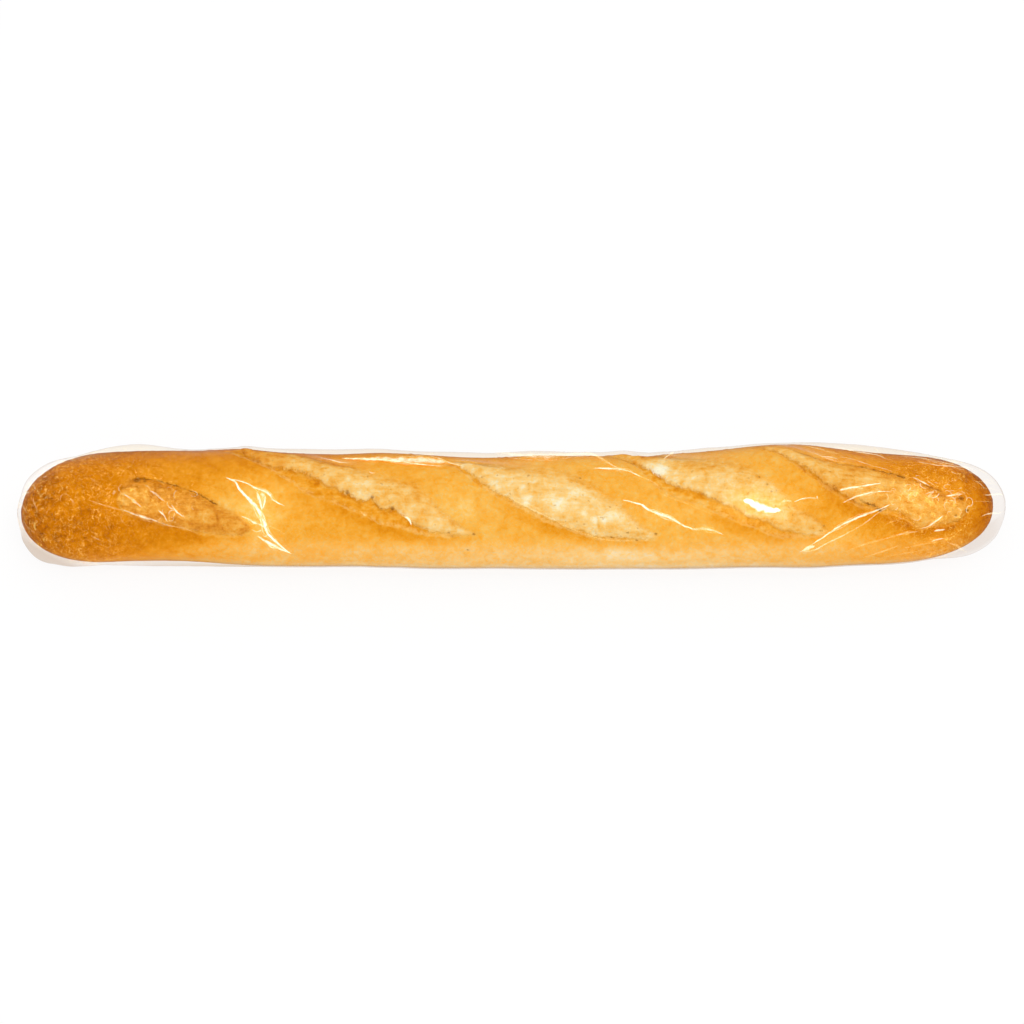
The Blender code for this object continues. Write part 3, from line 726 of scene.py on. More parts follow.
def loaf_bake(x, degrees, base, fields):
    """How deeply the crust and the torn crumb are baked, with painted shade under the torn
    lips and along the upper edge added in, where the paler side lies, and where the browned rim and underside are."""
    sine = np.sin(np.radians(degrees))
    signed = (degrees + 180) % 360 - 180
    broad = layered(base, 38.0, 71, 3)
    mid = layered(base, 9.0, 73, 3, 0.6)
    fine = layered(base, 3.0, 79, 2, 0.7)
    ends = np.clip(step(-205, -268, x) + step(215, 266, x), 0, 1)
    bake_and_shade = place_bake(x)
    wander = 5.0 * noise(base, 24.0, 74) + 3 * mid
    left = step(-150, -215, x)
    front_flank = step(140, 166, degrees + wander - 16 * left) * (1 - step(240, 250, degrees))
    back_flank = (1 - step(-14, 14, signed + wander)) * (signed > -70)
    flank = np.maximum(front_flank, back_flank)
    bake_and_shade = bake_and_shade - flank * (0.15 - 0.05 * ends) + 0.07 * left * step(120, 140, degrees)
    # darker along the top and back towards the upper edge: partly deeper baking, partly painted shade where the top
    # turns away
    bake_and_shade = bake_and_shade + (0.06 + 0.05 * ends) * (1 - step(8, 58, degrees)) * (degrees < 200) * (1 - flank)
    bake_and_shade = bake_and_shade + 0.09 * (1 - step(34, 62, degrees + mid * 6)) * (degrees > -20) * (1 - 0.6 * bell(x - 95, 60))
    bake_and_shade = bake_and_shade + 0.12 * bell(x + 145, 60) * (1 - step(56, 92, degrees)) * (degrees > -20)
    bake_and_shade = bake_and_shade + 0.10 * step(165, 215, x) * (1 - step(50, 100, degrees)) * (degrees > -20)
    bake_and_shade = bake_and_shade - 0.10 * step(181, 192, degrees) * (1 - step(204, 212, degrees))
    bake_and_shade = bake_and_shade - pale_places(x, degrees, base)
    bake_and_shade = bake_and_shade + (0.06 * broad + 0.06 * mid) * (1 - 0.4 * flank) + 0.05 * fine * (1 - 0.7 * flank)
    bake_and_shade = bake_and_shade + 0.15 * fields["shade"] * (1 - 0.7 * flank)
    # darker scorched specks towards the ends
    specks = step(0.22, 0.60, noise(base, 5.0, 77)) * (0.25 + 0.45 * ends) * (1 - flank)
    bake_and_shade = bake_and_shade + 0.06 * specks
    # the band under the torn edge is browner and matt
    band = 0.49 + 0.08 * mid + 0.05 * fine + 0.6 * (place_bake(x) - 0.41)
    bake_and_shade = bake_and_shade + (band - bake_and_shade) * 0.75 * fields["band"]
    # browned rim where the side meets the base, darkened further as painted shade where the side turns under
    rim = step(202, 209, degrees + mid) * (1 - step(216, 224, degrees))
    rim = np.maximum(rim, (1 - step(-34, -22, signed)) * (signed > -40))
    rim = rim * np.clip(1 - 0.6 * ends, 0, 1)
    under = step(-0.80, -0.90, sine)
    bake_and_shade = bake_and_shade + under * (0.30 + 0.06 * mid + 0.04 * fine)
    # nothing that goes round the loaf is carried to the tips, where it would meet in a star
    body = step(0.12, 0.52, end_taper(x))
    bake_and_shade = bake_and_shade + (place_bake(x) + 0.06 * mid + 0.04 * fine - bake_and_shade) * (1 - body)
    flank, rim, under = flank * body, rim * body, under * body
    bake_and_shade = bake_and_shade - 0.62 * np.maximum(bake_and_shade - 0.86, 0)  # nothing is burnt
    # torn crumb
    pale = fields["pale"]
    crumb = 0.625 - 0.25 * pale + 0.08 * broad + 0.10 * mid + 0.06 * fine
    crumb = crumb + 0.15 * (1 - step(0.0, 0.42, fields["across"])) + 0.14 * (1 - step(34, 60, degrees))
    crumb = crumb + 0.5 * (place_bake(x) - 0.43)
    crumb = crumb + 0.26 * (1 - step(-150, -98, x)) * step(-176, -160, x) * (1 - step(62, 84, degrees))
    crumb = crumb + 0.15 * bell(x - 112, 48) * (1 - step(44, 68, degrees))
    crumb = crumb + 0.05 * step(135, 160, x)
    crumb = crumb - 0.55 * cream_places(x, degrees, base)
    creamy = step(0.05, 0.6, layered(base, 8.0, 83, 2) + 0.3 * broad) * pale * step(0.1, 0.5, fields["across"])
    crumb = crumb - 0.20 * creamy * step(0.7, 1.0, pale)
    return bake_and_shade, crumb, flank * (1 - under), rim


# ---------------------------------------------------------------------------
# meshes
# ---------------------------------------------------------------------------
def tube_faces(rings, columns):
    first, last = 1, 1 + (rings - 2) * columns
    j = np.arange(columns)
    k = (j + 1) % columns
    fans = [(0, first + b, first + a) for a, b in zip(j, k)]
    fans += [(last, last - columns + a, last - columns + b) for a, b in zip(j, k)]
    i = np.arange(rings - 3)[:, None] * columns + first
    quads = np.stack([i + j, i + k, i + columns + k, i + columns + j], axis=-1).reshape(-1, 4)
    return fans, quads


def new_mesh(name, vertices, fans, quads):
    mesh = bpy.data.meshes.new(name)
    loops = np.concatenate([np.array(fans, np.int32).reshape(-1), quads.reshape(-1).astype(np.int32)])
    starts = np.concatenate([np.arange(len(fans)) * 3, len(fans) * 3 + np.arange(len(quads)) * 4])
    mesh.vertices.add(len(vertices))
    mesh.vertices.foreach_set("co", (vertices * MM).astype(np.float32).reshape(-1))
    mesh.loops.add(len(loops))
    mesh.loops.foreach_set("vertex_index", loops)
    mesh.polygons.add(len(starts))
    mesh.polygons.foreach_set("loop_start", starts.astype(np.int32))
    mesh.polygons.foreach_set("use_smooth", np.ones(len(starts), bool))
    mesh.update(calc_edges=True)
    mesh.validate()
    return mesh


def ring_grid_vertices(grid):
    return np.concatenate([grid[0, :1], grid[1:-1].reshape(-1, grid.shape[-1]), grid[-1, :1]])


def set_float(mesh, name, values):
    layer = mesh.attributes.new(name, "FLOAT", "POINT")
    layer.data.foreach_set("value", values.astype(np.float32).reshape(-1))


def set_colour(mesh, name, values):
    layer = mesh.attributes.new(name, "FLOAT_COLOR", "POINT")
    rgba = np.concatenate([values, np.ones((len(values), 1))], axis=1)
    layer.data.foreach_set("color", rgba.astype(np.float32).reshape(-1))


def to_row(points):
    moved = points.copy()
    moved[..., 0] -= CENTRE_SHIFT[0]
    moved[..., 1] -= CENTRE_SHIFT[1]
    return moved


def show(mesh, material):
    piece = bpy.data.objects.new(mesh.name, mesh)
    mesh.materials.append(material)
    bpy.context.scene.collection.objects.link(piece)
    return piece


def columns_of(top_count, low_count, top_from=22.0, top_to=214.0):
    top = np.linspace(top_from, top_to, top_count, endpoint=False)
    low = np.linspace(top_to, top_from + 360.0, low_count, endpoint=False)
    degrees = np.concatenate([top, low])
    return degrees


def make_bread():
    rings = ring_positions(60, 500, 72)
    degrees = columns_of(104, 44)
    x, turn = np.meshgrid(rings, degrees, indexing="ij")
    turn = np.where(turn > 270, turn - 360, turn)
    base = loaf_surface(x, turn)
    relief, fields = loaf_relief(x, turn, base)
    crust, crumb, flank, rim = loaf_bake(x, turn, base, fields)
    relief = relief * np.clip(end_taper(x) / 0.12, 0, 1)
    points = base + outward(base) * relief[..., None]
    flat = FILM_BELOW + 0.10 * noise(base * np.array([1, 1, 0]), 6.0, 91)
    points[..., 2] = np.maximum(points[..., 2], flat)
    fans, quads = tube_faces(*x.shape)
    mesh = new_mesh("bread", ring_grid_vertices(to_row(points)), fans, quads)
    for name, values in (("bake_and_shade", crust), ("crumb_bake", crumb), ("flank", flank), ("rim", rim)):
        set_float(mesh, name, ring_grid_vertices(values[..., None]))
    ends = np.clip(step(-190, -262, x) + step(205, 262, x), 0, 1)
    for name in ("crumb", "band", "edge", "below", "lip", "crease", "crack", "cracked", "holes"):
        set_float(mesh, name, ring_grid_vertices(fields[name][..., None]))
    set_float(mesh, "ends", ring_grid_vertices(ends[..., None]))
    return mesh


def film_gap(x, degrees):
    gap = np.full_like(x, FILM_GAP)
    left = np.clip((LOAF_LEFT_TIP + LEFT_GAP_LENGTH - x) / LEFT_GAP_LENGTH, 0.0, 1.0)
    right = np.clip((x - LOAF_RIGHT_TIP + RIGHT_GAP_LENGTH) / RIGHT_GAP_LENGTH, 0.0, 1.0)
    gap = gap + (LEFT_TIP_GAP - FILM_GAP) * left ** 2
    gap = gap + (RIGHT_TIP_GAP - FILM_GAP) * right ** 2
    clear_of_tips = step(0, 5, x - LOAF_LEFT_TIP) * step(0, 5, LOAF_RIGHT_TIP - x)
    for at, half_length, angle, half_angle, height in FILM_FOLDS:
        turn = (degrees - angle + 180) % 360 - 180
        lobe = np.cos(np.pi / 2 * np.clip((x - at) / half_length, -1, 1)) ** 2
        lobe = lobe * np.cos(np.pi / 2 * np.clip(turn / half_angle, -1, 1)) ** 2
        gap = gap + height * lobe * clear_of_tips
    return gap


def spread_max(field, rings, columns):
    for _ in range(rings):
        padded = np.pad(field, ((1, 1), (0, 0)), mode="edge")
        field = np.maximum(np.maximum(padded[:-2], padded[2:]), field)
    for _ in range(columns):
        field = np.maximum(np.maximum(np.roll(field, 1, 1), np.roll(field, -1, 1)), field)
    return field


def blur(field, passes):
    for _ in range(passes):
        padded = np.pad(field, ((1, 1), (0, 0)), mode="edge")
        field = 0.25 * padded[:-2] + 0.5 * field + 0.25 * padded[2:]
        field = 0.25 * np.roll(field, 1, 1) + 0.5 * field + 0.25 * np.roll(field, -1, 1)
    return field


FILM = {}


def make_film_surface():
    rings = ring_positions(44, 400, 56)
    degrees = columns_of(86, 34)
    x, turn = np.meshgrid(rings, degrees, indexing="ij")
    turn = np.where(turn > 270, turn - 360, turn)
    base = loaf_surface(x, turn)
    relief, fields = loaf_relief(x, turn, base)
    relief = relief * np.clip(end_taper(x) / 0.12, 0, 1)
    over = blur(spread_max(relief, 2, 2), 6)
    over = np.maximum(over, relief + 0.05)
    tight = film_gap(x, turn)
    at_ends = np.clip(step(-190, -262, x) + step(205, 262, x), 0, 1)
    ripples = 0.10 * layered(base, 9.0, 101, 2) + (0.05 + 0.05 * at_ends) * noise(base, 3.4, 103)
    # folds run in towards the two tips
    radial = noise(np.stack([base[..., 0] * 0.25, turn * 0.9, 0 * x], axis=-1), 9.0, 107)
    ripples = ripples + 0.16 * at_ends * radial * (turn < 250)
    push = over + tight + ripples * np.clip(tight + 0.2, 0, 1.2)
    points = base + outward(base) * push[..., None]
    points[..., 2] = np.maximum(points[..., 2], 0.0)
    FILM["rings"], FILM["degrees"], FILM["x"], FILM["turn"] = rings, degrees, x, turn
    FILM["points"] = points
    FILM["normals"] = outward(points)
    FILM["gap"] = tight
    FILM["ends"] = at_ends
    FILM["crumb"] = fields["crumb"]
    return points


def film_at(x, degrees):
    """Places and normals on the film."""
    rings, columns = FILM["rings"], FILM["degrees"]
    i = np.clip(np.searchsorted(rings, x) - 1, 0, len(rings) - 2)
    fi = np.clip((x - rings[i]) / (rings[i + 1] - rings[i]), 0, 1)[:, None]
    turn = np.where(degrees < columns[0], degrees + 360, degrees)
    wrapped = np.append(columns, columns[0] + 360)
    j = np.clip(np.searchsorted(wrapped, turn) - 1, 0, len(columns) - 1)
    fj = np.clip((turn - wrapped[j]) / (wrapped[j + 1] - wrapped[j]), 0, 1)[:, None]
    k = (j + 1) % len(columns)
    found = []
    for grid in (FILM["points"], FILM["normals"]):
        found.append(
            grid[i, j] * (1 - fi) * (1 - fj) + grid[i + 1, j] * fi * (1 - fj)
            + grid[i, k] * (1 - fi) * fj + grid[i + 1, k] * fi * fj
        )
    found[1] /= np.maximum(np.linalg.norm(found[1], axis=1, keepdims=True), 1e-9)
    return found


def smooth_path(points, spacing):
    """A curve through the points, as evenly spaced samples."""
    points = np.asarray(points, float)
    run = np.concatenate([[0], np.cumsum(np.hypot(*np.diff(points, axis=0).T))])
    count = max(5, int(run[-1] / spacing) + 1)
    at = np.linspace(0, run[-1], count)
    return np.stack([curve_through(at, run, points[:, k]) for k in range(points.shape[1])], axis=1)


AROUND = 7


def strands(number, places, width, white, widest):
    """A crease and, beside a broad one, finer strands that wander off it."""
    line = smooth_path(places * np.array([1.0, MM_PER_DEGREE]), 0.8)
    made = [(line, 1.45 * width if width < 3 else 1.1 * width, white, widest)]
    if width < 1.0 or width > 3.0 or white < 0.5 or len(line) < 8:
        return made
    ahead = np.gradient(line, axis=0)
    ahead /= np.maximum(np.linalg.norm(ahead, axis=1, keepdims=True), 1e-9)
    side = np.stack([-ahead[:, 1], ahead[:, 0]], axis=1)
    t = np.linspace(0, 1, len(line))
    for k in range(2 if width < 1.6 else 3):
        a, b, c = (0.5 + 0.5 * float(noise(np.array([7.3 * number + 1.7 * k + m, 3.1, 0.5]), 1.0, 600 + m)) for m in range(3))
        first = np.clip(0.02 + 0.55 * a, 0, 0.6)
        last = min(first + 0.28 + 0.4 * b, 0.98)
        part = (t >= first) & (t <= last)
        if part.sum() < 6:
            continue
        s = np.linspace(-1, 1, int(part.sum()))
        away = (0.45 + 0.75 * c) * width * (1 - s ** 2) * (-1 if (k + number) % 2 else 1)
        away = away + 0.25 * np.sin(5.0 * s + 3.0 * a)
        made.append((line[part] + side[part] * away[:, None], 0.50 * width + 0.15, white * 0.62, 0.3 + 0.4 * b))
    return made


def crease_mesh(number, line, width, white, widest):
    """A flattened tube along a crease: vertices, faces and how white each is drawn, as painted highlight."""
    centre, normal = film_at(line[:, 0], line[:, 1] / MM_PER_DEGREE)
    ahead = np.gradient(centre, axis=0)
    ahead /= np.maximum(np.linalg.norm(ahead, axis=1, keepdims=True), 1e-9)
    side = np.cross(normal, ahead)
    side /= np.maximum(np.linalg.norm(side, axis=1, keepdims=True), 1e-9)
    t = np.linspace(0, 1, len(line))
    bulge = np.where(t < widest, t / widest, (1 - t) / (1 - widest))
    wobble = 1 + 0.38 * noise(centre, 2.4, 200 + number) + 0.25 * noise(centre, 1.1, 300 + number)
    half = 0.5 * width * (0.18 + 0.82 * np.clip(bulge, 0, 1) ** 0.7) * wobble
    reach = 1.2 / (0.8 * len(line))  # both ends narrow to a point over 1.2 mm
    half = half * step(0, reach, t) * step(0, reach, 1 - t) + 0.03
    centre = centre + side * (0.16 * width * noise(centre, 3.0, 400 + number))[:, None]
    thick = np.minimum(0.05 + 0.12 * half, 0.20)
    turn = np.radians((0.0, 36.0, 72.0, 108.0, 144.0, 180.0, 270.0))
    rings = (
        centre[:, None]
        + side[:, None] * (half[:, None] * np.cos(turn))[..., None]
        + normal[:, None] * (0.10 + thick[:, None] * np.sin(turn))[..., None]
    )
    fade = step(-0.3 * reach, 1.2 * reach, t) * step(-0.3 * reach, 1.2 * reach, 1 - t)
    patchy = np.clip(0.85 + 0.5 * noise(centre, 4.0, 500 + number), 0, 1)
    shine = white * fade * patchy
    across = np.interp(np.abs(np.cos(turn)), (0.31, 0.81, 1.0), (1.0, 0.42, 0.03))
    shine = shine[:, None] * np.where(np.sin(turn) > -0.01, across, 0.0)
    vertices = np.concatenate([rings.reshape(-1, 3), centre[:1] + normal[:1] * 0.1, centre[-1:] + normal[-1:] * 0.1])
    shine = np.concatenate([shine.reshape(-1), [0.0, 0.0]])
    n = len(line)
    j = np.arange(AROUND)
    k = (j + 1) % AROUND
    i = np.arange(n - 1)[:, None] * AROUND
    quads = np.stack([i + j, i + AROUND + j, i + AROUND + k, i + k], axis=-1).reshape(-1, 4)
    fans = [(n * AROUND, a, b) for a, b in zip(j, k)]
    fans += [(n * AROUND + 1, (n - 1) * AROUND + b, (n - 1) * AROUND + a) for a, b in zip(j, k)]
    return vertices, fans, quads, shine


def film_tint(x, degrees, gap):
    """What the film lets through. Where it stands off the bread it is given a warm,
    darker cast: painted colour for the bread and its shaded underside seen in it."""
    clear = np.array([0.988, 0.986, 0.982])
    body = step(0.12, 0.45, end_taper(x))
    left_low = body * np.clip(step(1.2, 4.0, gap) * step(-120, -215, x) * (degrees > 150), 0, 1)
    other = step(1.0, 4.0, gap) * (1 - left_low)
    tint = np.ones(x.shape + (3,)) * clear
    top = step(0.8, 1.6, gap) * bell(degrees - 34, 34) * step(-200, -150, x) * (1 - step(225, 245, x))
    tint = mix(tint, np.array([0.875, 0.815, 0.76]), left_low)
    tint = mix(tint, np.array([0.972, 0.952, 0.935]), other * (1 - top))
    tint = mix(tint, np.array([0.972, 0.945, 0.915]), top)
    # what lies behind the loaf's edges, seen through the film at a slant, is painted into the film as a darker warm
    # cast
    right_low = body * step(1.0, 3.0, gap) * step(200, 235, x) * step(188, 200, degrees)
    tint = mix(tint, np.array([0.962, 0.945, 0.928]), right_low)
    ends = body * np.clip(step(-165, -215, x) + step(215, 245, x), 0, 1)
    behind = ends * step(213, 226, degrees) * (1 - step(262, 272, degrees))
    tint = mix(tint, mix(np.array([0.87, 0.80, 0.73]), np.array([0.89, 0.84, 0.80]), (x > 0) * 1.0), behind)
    cream = (1 - step(20, 34, degrees)) * (degrees > -40) * step(-255, -235, x) * (1 - step(245, 262, x))
    tint = mix(tint, tint * np.array([0.995, 0.955, 0.865]), cream)
    # along the base a brownish line is painted into the film: the folded hem, with painted shade where the loaf turns
    # under
    hem_and_shade = step(205, 211, degrees) * (1 - step(216, 226, degrees)) * step(-230, -150, x) * (1 - step(215, 255, x))
    return mix(tint, np.array([0.79, 0.69, 0.56]), hem_and_shade)


def make_film():
    points = make_film_surface()
    fans, quads = tube_faces(*FILM["x"].shape)
    skin = ring_grid_vertices(points)
    parts = [(skin, fans, quads)]
    crease_glints = [np.zeros(len(skin))]
    offset = len(skin)
    all_quads = [quads]
    all_vertices = [skin]
    all_fans = list(fans)
    lines = []
    for number, (path, width, white, widest) in enumerate(CREASES):
        lines += strands(number, seen(path), width, white, widest)
    lines += curl_lines()
    for number, (line, width, white, widest) in enumerate(lines):
        made, ends, sides, shine = crease_mesh(number, line, width, white, widest)
        all_vertices.append(made)
        all_fans += [tuple(v + offset for v in face) for face in ends]
        all_quads.append(sides + offset)
        crease_glints.append(shine)
        offset += len(made)
    vertices = np.concatenate(all_vertices)
    mesh = new_mesh("film", to_row(vertices), all_fans, np.concatenate(all_quads))
    extra = len(vertices) - len(skin)
    tint = ring_grid_vertices(film_tint(FILM["x"], FILM["turn"], FILM["gap"]))
    set_colour(mesh, "tint", np.concatenate([tint, np.full((extra, 3), 0.99)]))
    set_float(mesh, "crease_glint", np.concatenate(crease_glints))
    set_float(mesh, "skin", np.concatenate([np.ones(len(skin)), np.zeros(extra)]))
    first_slash = bell(FILM["x"] + 205, 28) * bell(FILM["turn"] - 100, 32)
    last_slash = bell(FILM["x"] - 235, 30) * bell(FILM["turn"] - 95, 45)
    loose = step(1.6, 3.6, FILM["gap"])
    crackle = np.clip(FILM["ends"] + 0.7 * first_slash + 0.7 * last_slash, 0, 1) * (1 - loose)
    crackle = ring_grid_vertices(crackle[..., None])[:, 0]
    set_float(mesh, "crackle", np.concatenate([crackle, np.zeros(extra)]))
    painted_sheen = painted_sheen_field(FILM["x"], FILM["turn"]) * (0.75 + 0.5 * noise(FILM["points"], 4.0, 119))
    painted_sheen = ring_grid_vertices(np.maximum(painted_sheen, 0)[..., None])[:, 0]
    set_float(mesh, "painted_sheen", np.concatenate([painted_sheen, np.zeros(extra)]))
    return mesh


# ---------------------------------------------------------------------------
# materials
# ---------------------------------------------------------------------------
def node(tree, kind, **settings):
    made = tree.nodes.new(kind)
    for key, value in settings.items():
        setattr(made, key, value)
    return made


class Nodes:
    """Short hands for building a node tree."""

    def __init__(self, material):
        material.use_nodes = True
        self.tree = material.node_tree

    def link(self, source, socket):
        self.tree.links.new(source, socket)

    def attribute(self, name, output="Fac"):
        return node(self.tree, "ShaderNodeAttribute", attribute_name=name).outputs[output]

    def place(self, turn=0.0, scale=(1, 1, 1)):
        where = node(self.tree, "ShaderNodeTexCoord")
        if turn == 0.0 and scale == (1, 1, 1):
            return where.outputs["Object"]
        moved = node(self.tree, "ShaderNodeMapping")
        moved.inputs["Rotation"].default_value = (0, 0, turn)
        moved.inputs["Scale"].default_value = scale
        self.link(where.outputs["Object"], moved.inputs["Vector"])
        return moved.outputs["Vector"]

    def noise(self, size, detail=2.0, rough=0.55, place=None, distort=0.0):
        """Noise about 0 to 1, whose features have that size in mm."""
        made = node(self.tree, "ShaderNodeTexNoise")
        made.inputs["Scale"].default_value = 1000.0 / size
        made.inputs["Detail"].default_value = detail
        made.inputs["Roughness"].default_value = rough
        made.inputs["Distortion"].default_value = distort
        self.link(place or self.place(), made.inputs["Vector"])
        return made.outputs["Fac"]

    def maths(self, operation, a, b=None, c=None, clamp=False):
        made = node(self.tree, "ShaderNodeMath", operation=operation, use_clamp=clamp)
        for socket, value in zip(made.inputs, (a, b, c)):
            if value is None:
                continue
            if isinstance(value, (int, float)):
                socket.default_value = value
            else:
                self.link(value, socket)
        return made.outputs["Value"]

    def spread(self, value, low, high, to_low=0.0, to_high=1.0, smooth=False):
        made = node(self.tree, "ShaderNodeMapRange")
        if smooth:
            made.interpolation_type = "SMOOTHSTEP"
        made.inputs["From Min"].default_value = low
        made.inputs["From Max"].default_value = high
        made.inputs["To Min"].default_value = to_low
        made.inputs["To Max"].default_value = to_high
        self.link(value, made.inputs["Value"])
        return made.outputs["Result"]

    def blend(self, amount, a, b):
        made = node(self.tree, "ShaderNodeMix", data_type="RGBA")
        for socket, value in ((made.inputs[0], amount), (made.inputs[6], a), (made.inputs[7], b)):
            if isinstance(value, (int, float)):
                socket.default_value = value
            elif isinstance(value, tuple):
                socket.default_value = value + (1.0,)
            else:
                self.link(value, socket)
        return made.outputs[2]

    def ramp(self, value, stops):
        made = node(self.tree, "ShaderNodeValToRGB")
        elements = made.color_ramp.elements
        while len(elements) < len(stops):
            elements.new(0.5)
        for element, (at, code) in zip(elements, stops):
            element.position = at
            element.color = plain(code) + (1.0,)
        self.link(value, made.inputs["Fac"])
        return made.outputs["Color"]

    def shifted(self, value, by, amount):
        """value + (by - 0.5) * amount"""
        return self.maths("MULTIPLY_ADD", self.maths("SUBTRACT", by, 0.5), amount, value)

    def scaled(self, colour, by):
        made = node(self.tree, "ShaderNodeVectorMath", operation="SCALE")
        self.link(colour, made.inputs[0])
        self.link(by, made.inputs["Scale"])
        return made.outputs["Vector"]

    def bump(self, height, distance, strength=1.0, under=None):
        made = node(self.tree, "ShaderNodeBump")
        made.inputs["Strength"].default_value = strength
        made.inputs["Distance"].default_value = distance
        self.link(height, made.inputs["Height"])
        if under is not None:
            self.link(under, made.inputs["Normal"])
        return made.outputs["Normal"]


def plain(code):
    return tuple(float(c) for c in srgb(code))


def crust_material():
    material = bpy.data.materials.new("crust")
    n = Nodes(material)
    surface = n.tree.nodes["Principled BSDF"]
    ends = n.attribute("ends")
    tiny = n.noise(1.1, 2.0, 0.6)
    small = n.noise(2.6, 3.0, 0.6)
    medium = n.noise(6.5, 3.0, 0.6, distort=0.6)
    fibre = n.noise(2.2, 2.0, 0.6, place=n.place(math.radians(27), (0.25, 1, 1)))
    # where the torn crumb begins: the distance inside the edge, made ragged
    jitter = n.maths("MULTIPLY_ADD", n.maths("SUBTRACT", small, 0.5), 4.6, n.maths("MULTIPLY", n.maths("SUBTRACT", tiny, 0.5), 2.6))
    edge = n.maths("ADD", n.attribute("edge"), jitter)
    crumb = n.maths("MULTIPLY", n.spread(edge, -0.7, 0.7, smooth=True), n.attribute("crumb"), clamp=True)
    near_edge = n.attribute("crease")
    pieces = n.spread(medium, 0.42, 0.60, smooth=True)
    # crust: how deeply it is baked, with patches and grain
    bake_and_shade = n.shifted(n.attribute("bake_and_shade"), medium, n.spread(ends, 0, 1, 0.34, 0.36))
    bake_and_shade = n.shifted(bake_and_shade, small, n.spread(ends, 0, 1, 0.34, 0.50))
    bake_and_shade = n.shifted(bake_and_shade, tiny, n.spread(ends, 0, 1, 0.36, 0.42))
    # shade under the torn edge, soft and broken
    under = n.maths("MULTIPLY", n.spread(edge, -4.6, -0.4, smooth=True), n.spread(edge, 0.0, 1.2, 1.0, 0.0))
    under = n.maths("MULTIPLY", n.maths("MULTIPLY", under, near_edge), n.maths("MULTIPLY_ADD", pieces, 0.6, 0.4))
    bake_and_shade = n.maths("MULTIPLY_ADD", under, 0.22, bake_and_shade)
    # the band below it is grainy
    band = n.attribute("band")
    lumps = n.spread(n.noise(3.0, 2.5, 0.6), 0.40, 0.60, smooth=True)
    flakes = n.spread(n.noise(3.4, 2.5, 0.6, place=n.place(math.radians(30), (0.35, 1, 1))), 0.40, 0.62, smooth=True)
    bake_and_shade = n.maths("MULTIPLY_ADD", n.maths("MULTIPLY", n.maths("SUBTRACT", lumps, 0.4), band), -0.09, bake_and_shade)
    bake_and_shade = n.maths("MULTIPLY_ADD", n.maths("MULTIPLY", n.maths("SUBTRACT", flakes, 0.4), band), -0.13, bake_and_shade)
    crust = n.ramp(bake_and_shade, CRUST_RAMP)
    paler = node(n.tree, "ShaderNodeMix", data_type="RGBA", blend_type="MULTIPLY")
    n.link(n.attribute("flank"), paler.inputs[0])
    n.link(crust, paler.inputs[6])
    n.link(n.blend(ends, (1.03, 0.985, 1.12), (0.97, 0.975, 1.80)), paler.inputs[7])
    crust = n.blend(n.maths("MULTIPLY", under, 0.45), paler.outputs[2], plain("c9822e"))
    # torn crumb: paler, with fibres and pores
    inner = n.shifted(n.attribute("crumb_bake"), medium, 0.62)
    inner = n.shifted(inner, fibre, 0.36)
    inner = n.shifted(inner, small, 0.36)
    inner = n.shifted(inner, tiny, 0.40)
    inner = n.ramp(inner, CRUMB_RAMP)
    # the pores are darkened with painted shade
    pores = n.spread(n.noise(2.1, 1.0, 0.5), 0.67, 0.80, smooth=True)
    inner = n.blend(n.maths("MULTIPLY", pores, 0.55), inner, plain("b9792a"))
    colour = n.blend(crumb, crust, inner)
    # crumbs along the torn lip of the band, paler, with painted highlight on the raised edge
    below = n.maths("ADD", n.attribute("below"), n.maths("MULTIPLY", jitter, 0.5))
    line = n.maths("MULTIPLY", n.spread(n.maths("ABSOLUTE", below), 0.10, 0.60, 1.0, 0.0, smooth=True), n.maths("MULTIPLY_ADD", pieces, 0.40, 0.12))
    lip = n.maths("MULTIPLY", n.spread(n.maths("ABSOLUTE", n.maths("ADD", below, 0.8)), 0.30, 2.1, 1.0, 0.0, smooth=True), lumps)
    lip = n.maths("MULTIPLY", n.maths("MAXIMUM", line, n.maths("MULTIPLY", lip, 0.55)), n.attribute("lip"))
    colour = n.blend(n.maths("MULTIPLY", lip, 0.80), colour, plain("fac878"))
    # pits along the torn edge, darkened with painted shade
    pit = n.maths("MULTIPLY", n.spread(n.maths("ABSOLUTE", n.maths("ADD", edge, 0.5)), 0.3, 1.3, 1.0, 0.0), n.spread(n.noise(2.4, 1.0, 0.5), 0.55, 0.70, smooth=True))
    pit = n.maths("MULTIPLY", n.maths("MULTIPLY", pit, near_edge), pieces)
    colour = n.blend(n.maths("MULTIPLY", pit, 0.42), colour, plain("9a5f1c"))
    # cracks, darkened with painted shade
    crack_at = n.maths("ADD", n.attribute("crack"), n.maths("MULTIPLY", jitter, 0.5))
    crack = n.spread(n.maths("ABSOLUTE", crack_at), 0.10, 0.55, 1.0, 0.0, smooth=True)
    crack = n.maths("MULTIPLY", n.maths("MULTIPLY", crack, n.attribute("cracked")), n.maths("MULTIPLY_ADD", pieces, 0.75, 0.25))
    colour = n.blend(n.maths("MULTIPLY", crack, 0.75), colour, plain("80460e"))
    # painted shade in the holes
    hole = n.spread(n.attribute("holes"), 0.30, 0.80, smooth=True)
    colour = n.blend(n.maths("MULTIPLY", hole, 0.68), colour, plain("8a5215"))
    # the browned rim just above the base, also painted shade where the side turns under, and painted shade on the
    # edge of the loaf where it turns away from view
    colour = n.blend(n.maths("MULTIPLY", n.attribute("rim"), 0.58), colour, plain("b98548"))
    facing = node(n.tree, "ShaderNodeLayerWeight")
    facing.inputs["Blend"].default_value = 0.5
    turned = n.maths("MULTIPLY", n.maths("POWER", facing.outputs["Facing"], 4.0), 0.80, clamp=True)
    colour = n.blend(turned, colour, plain("93561c"))
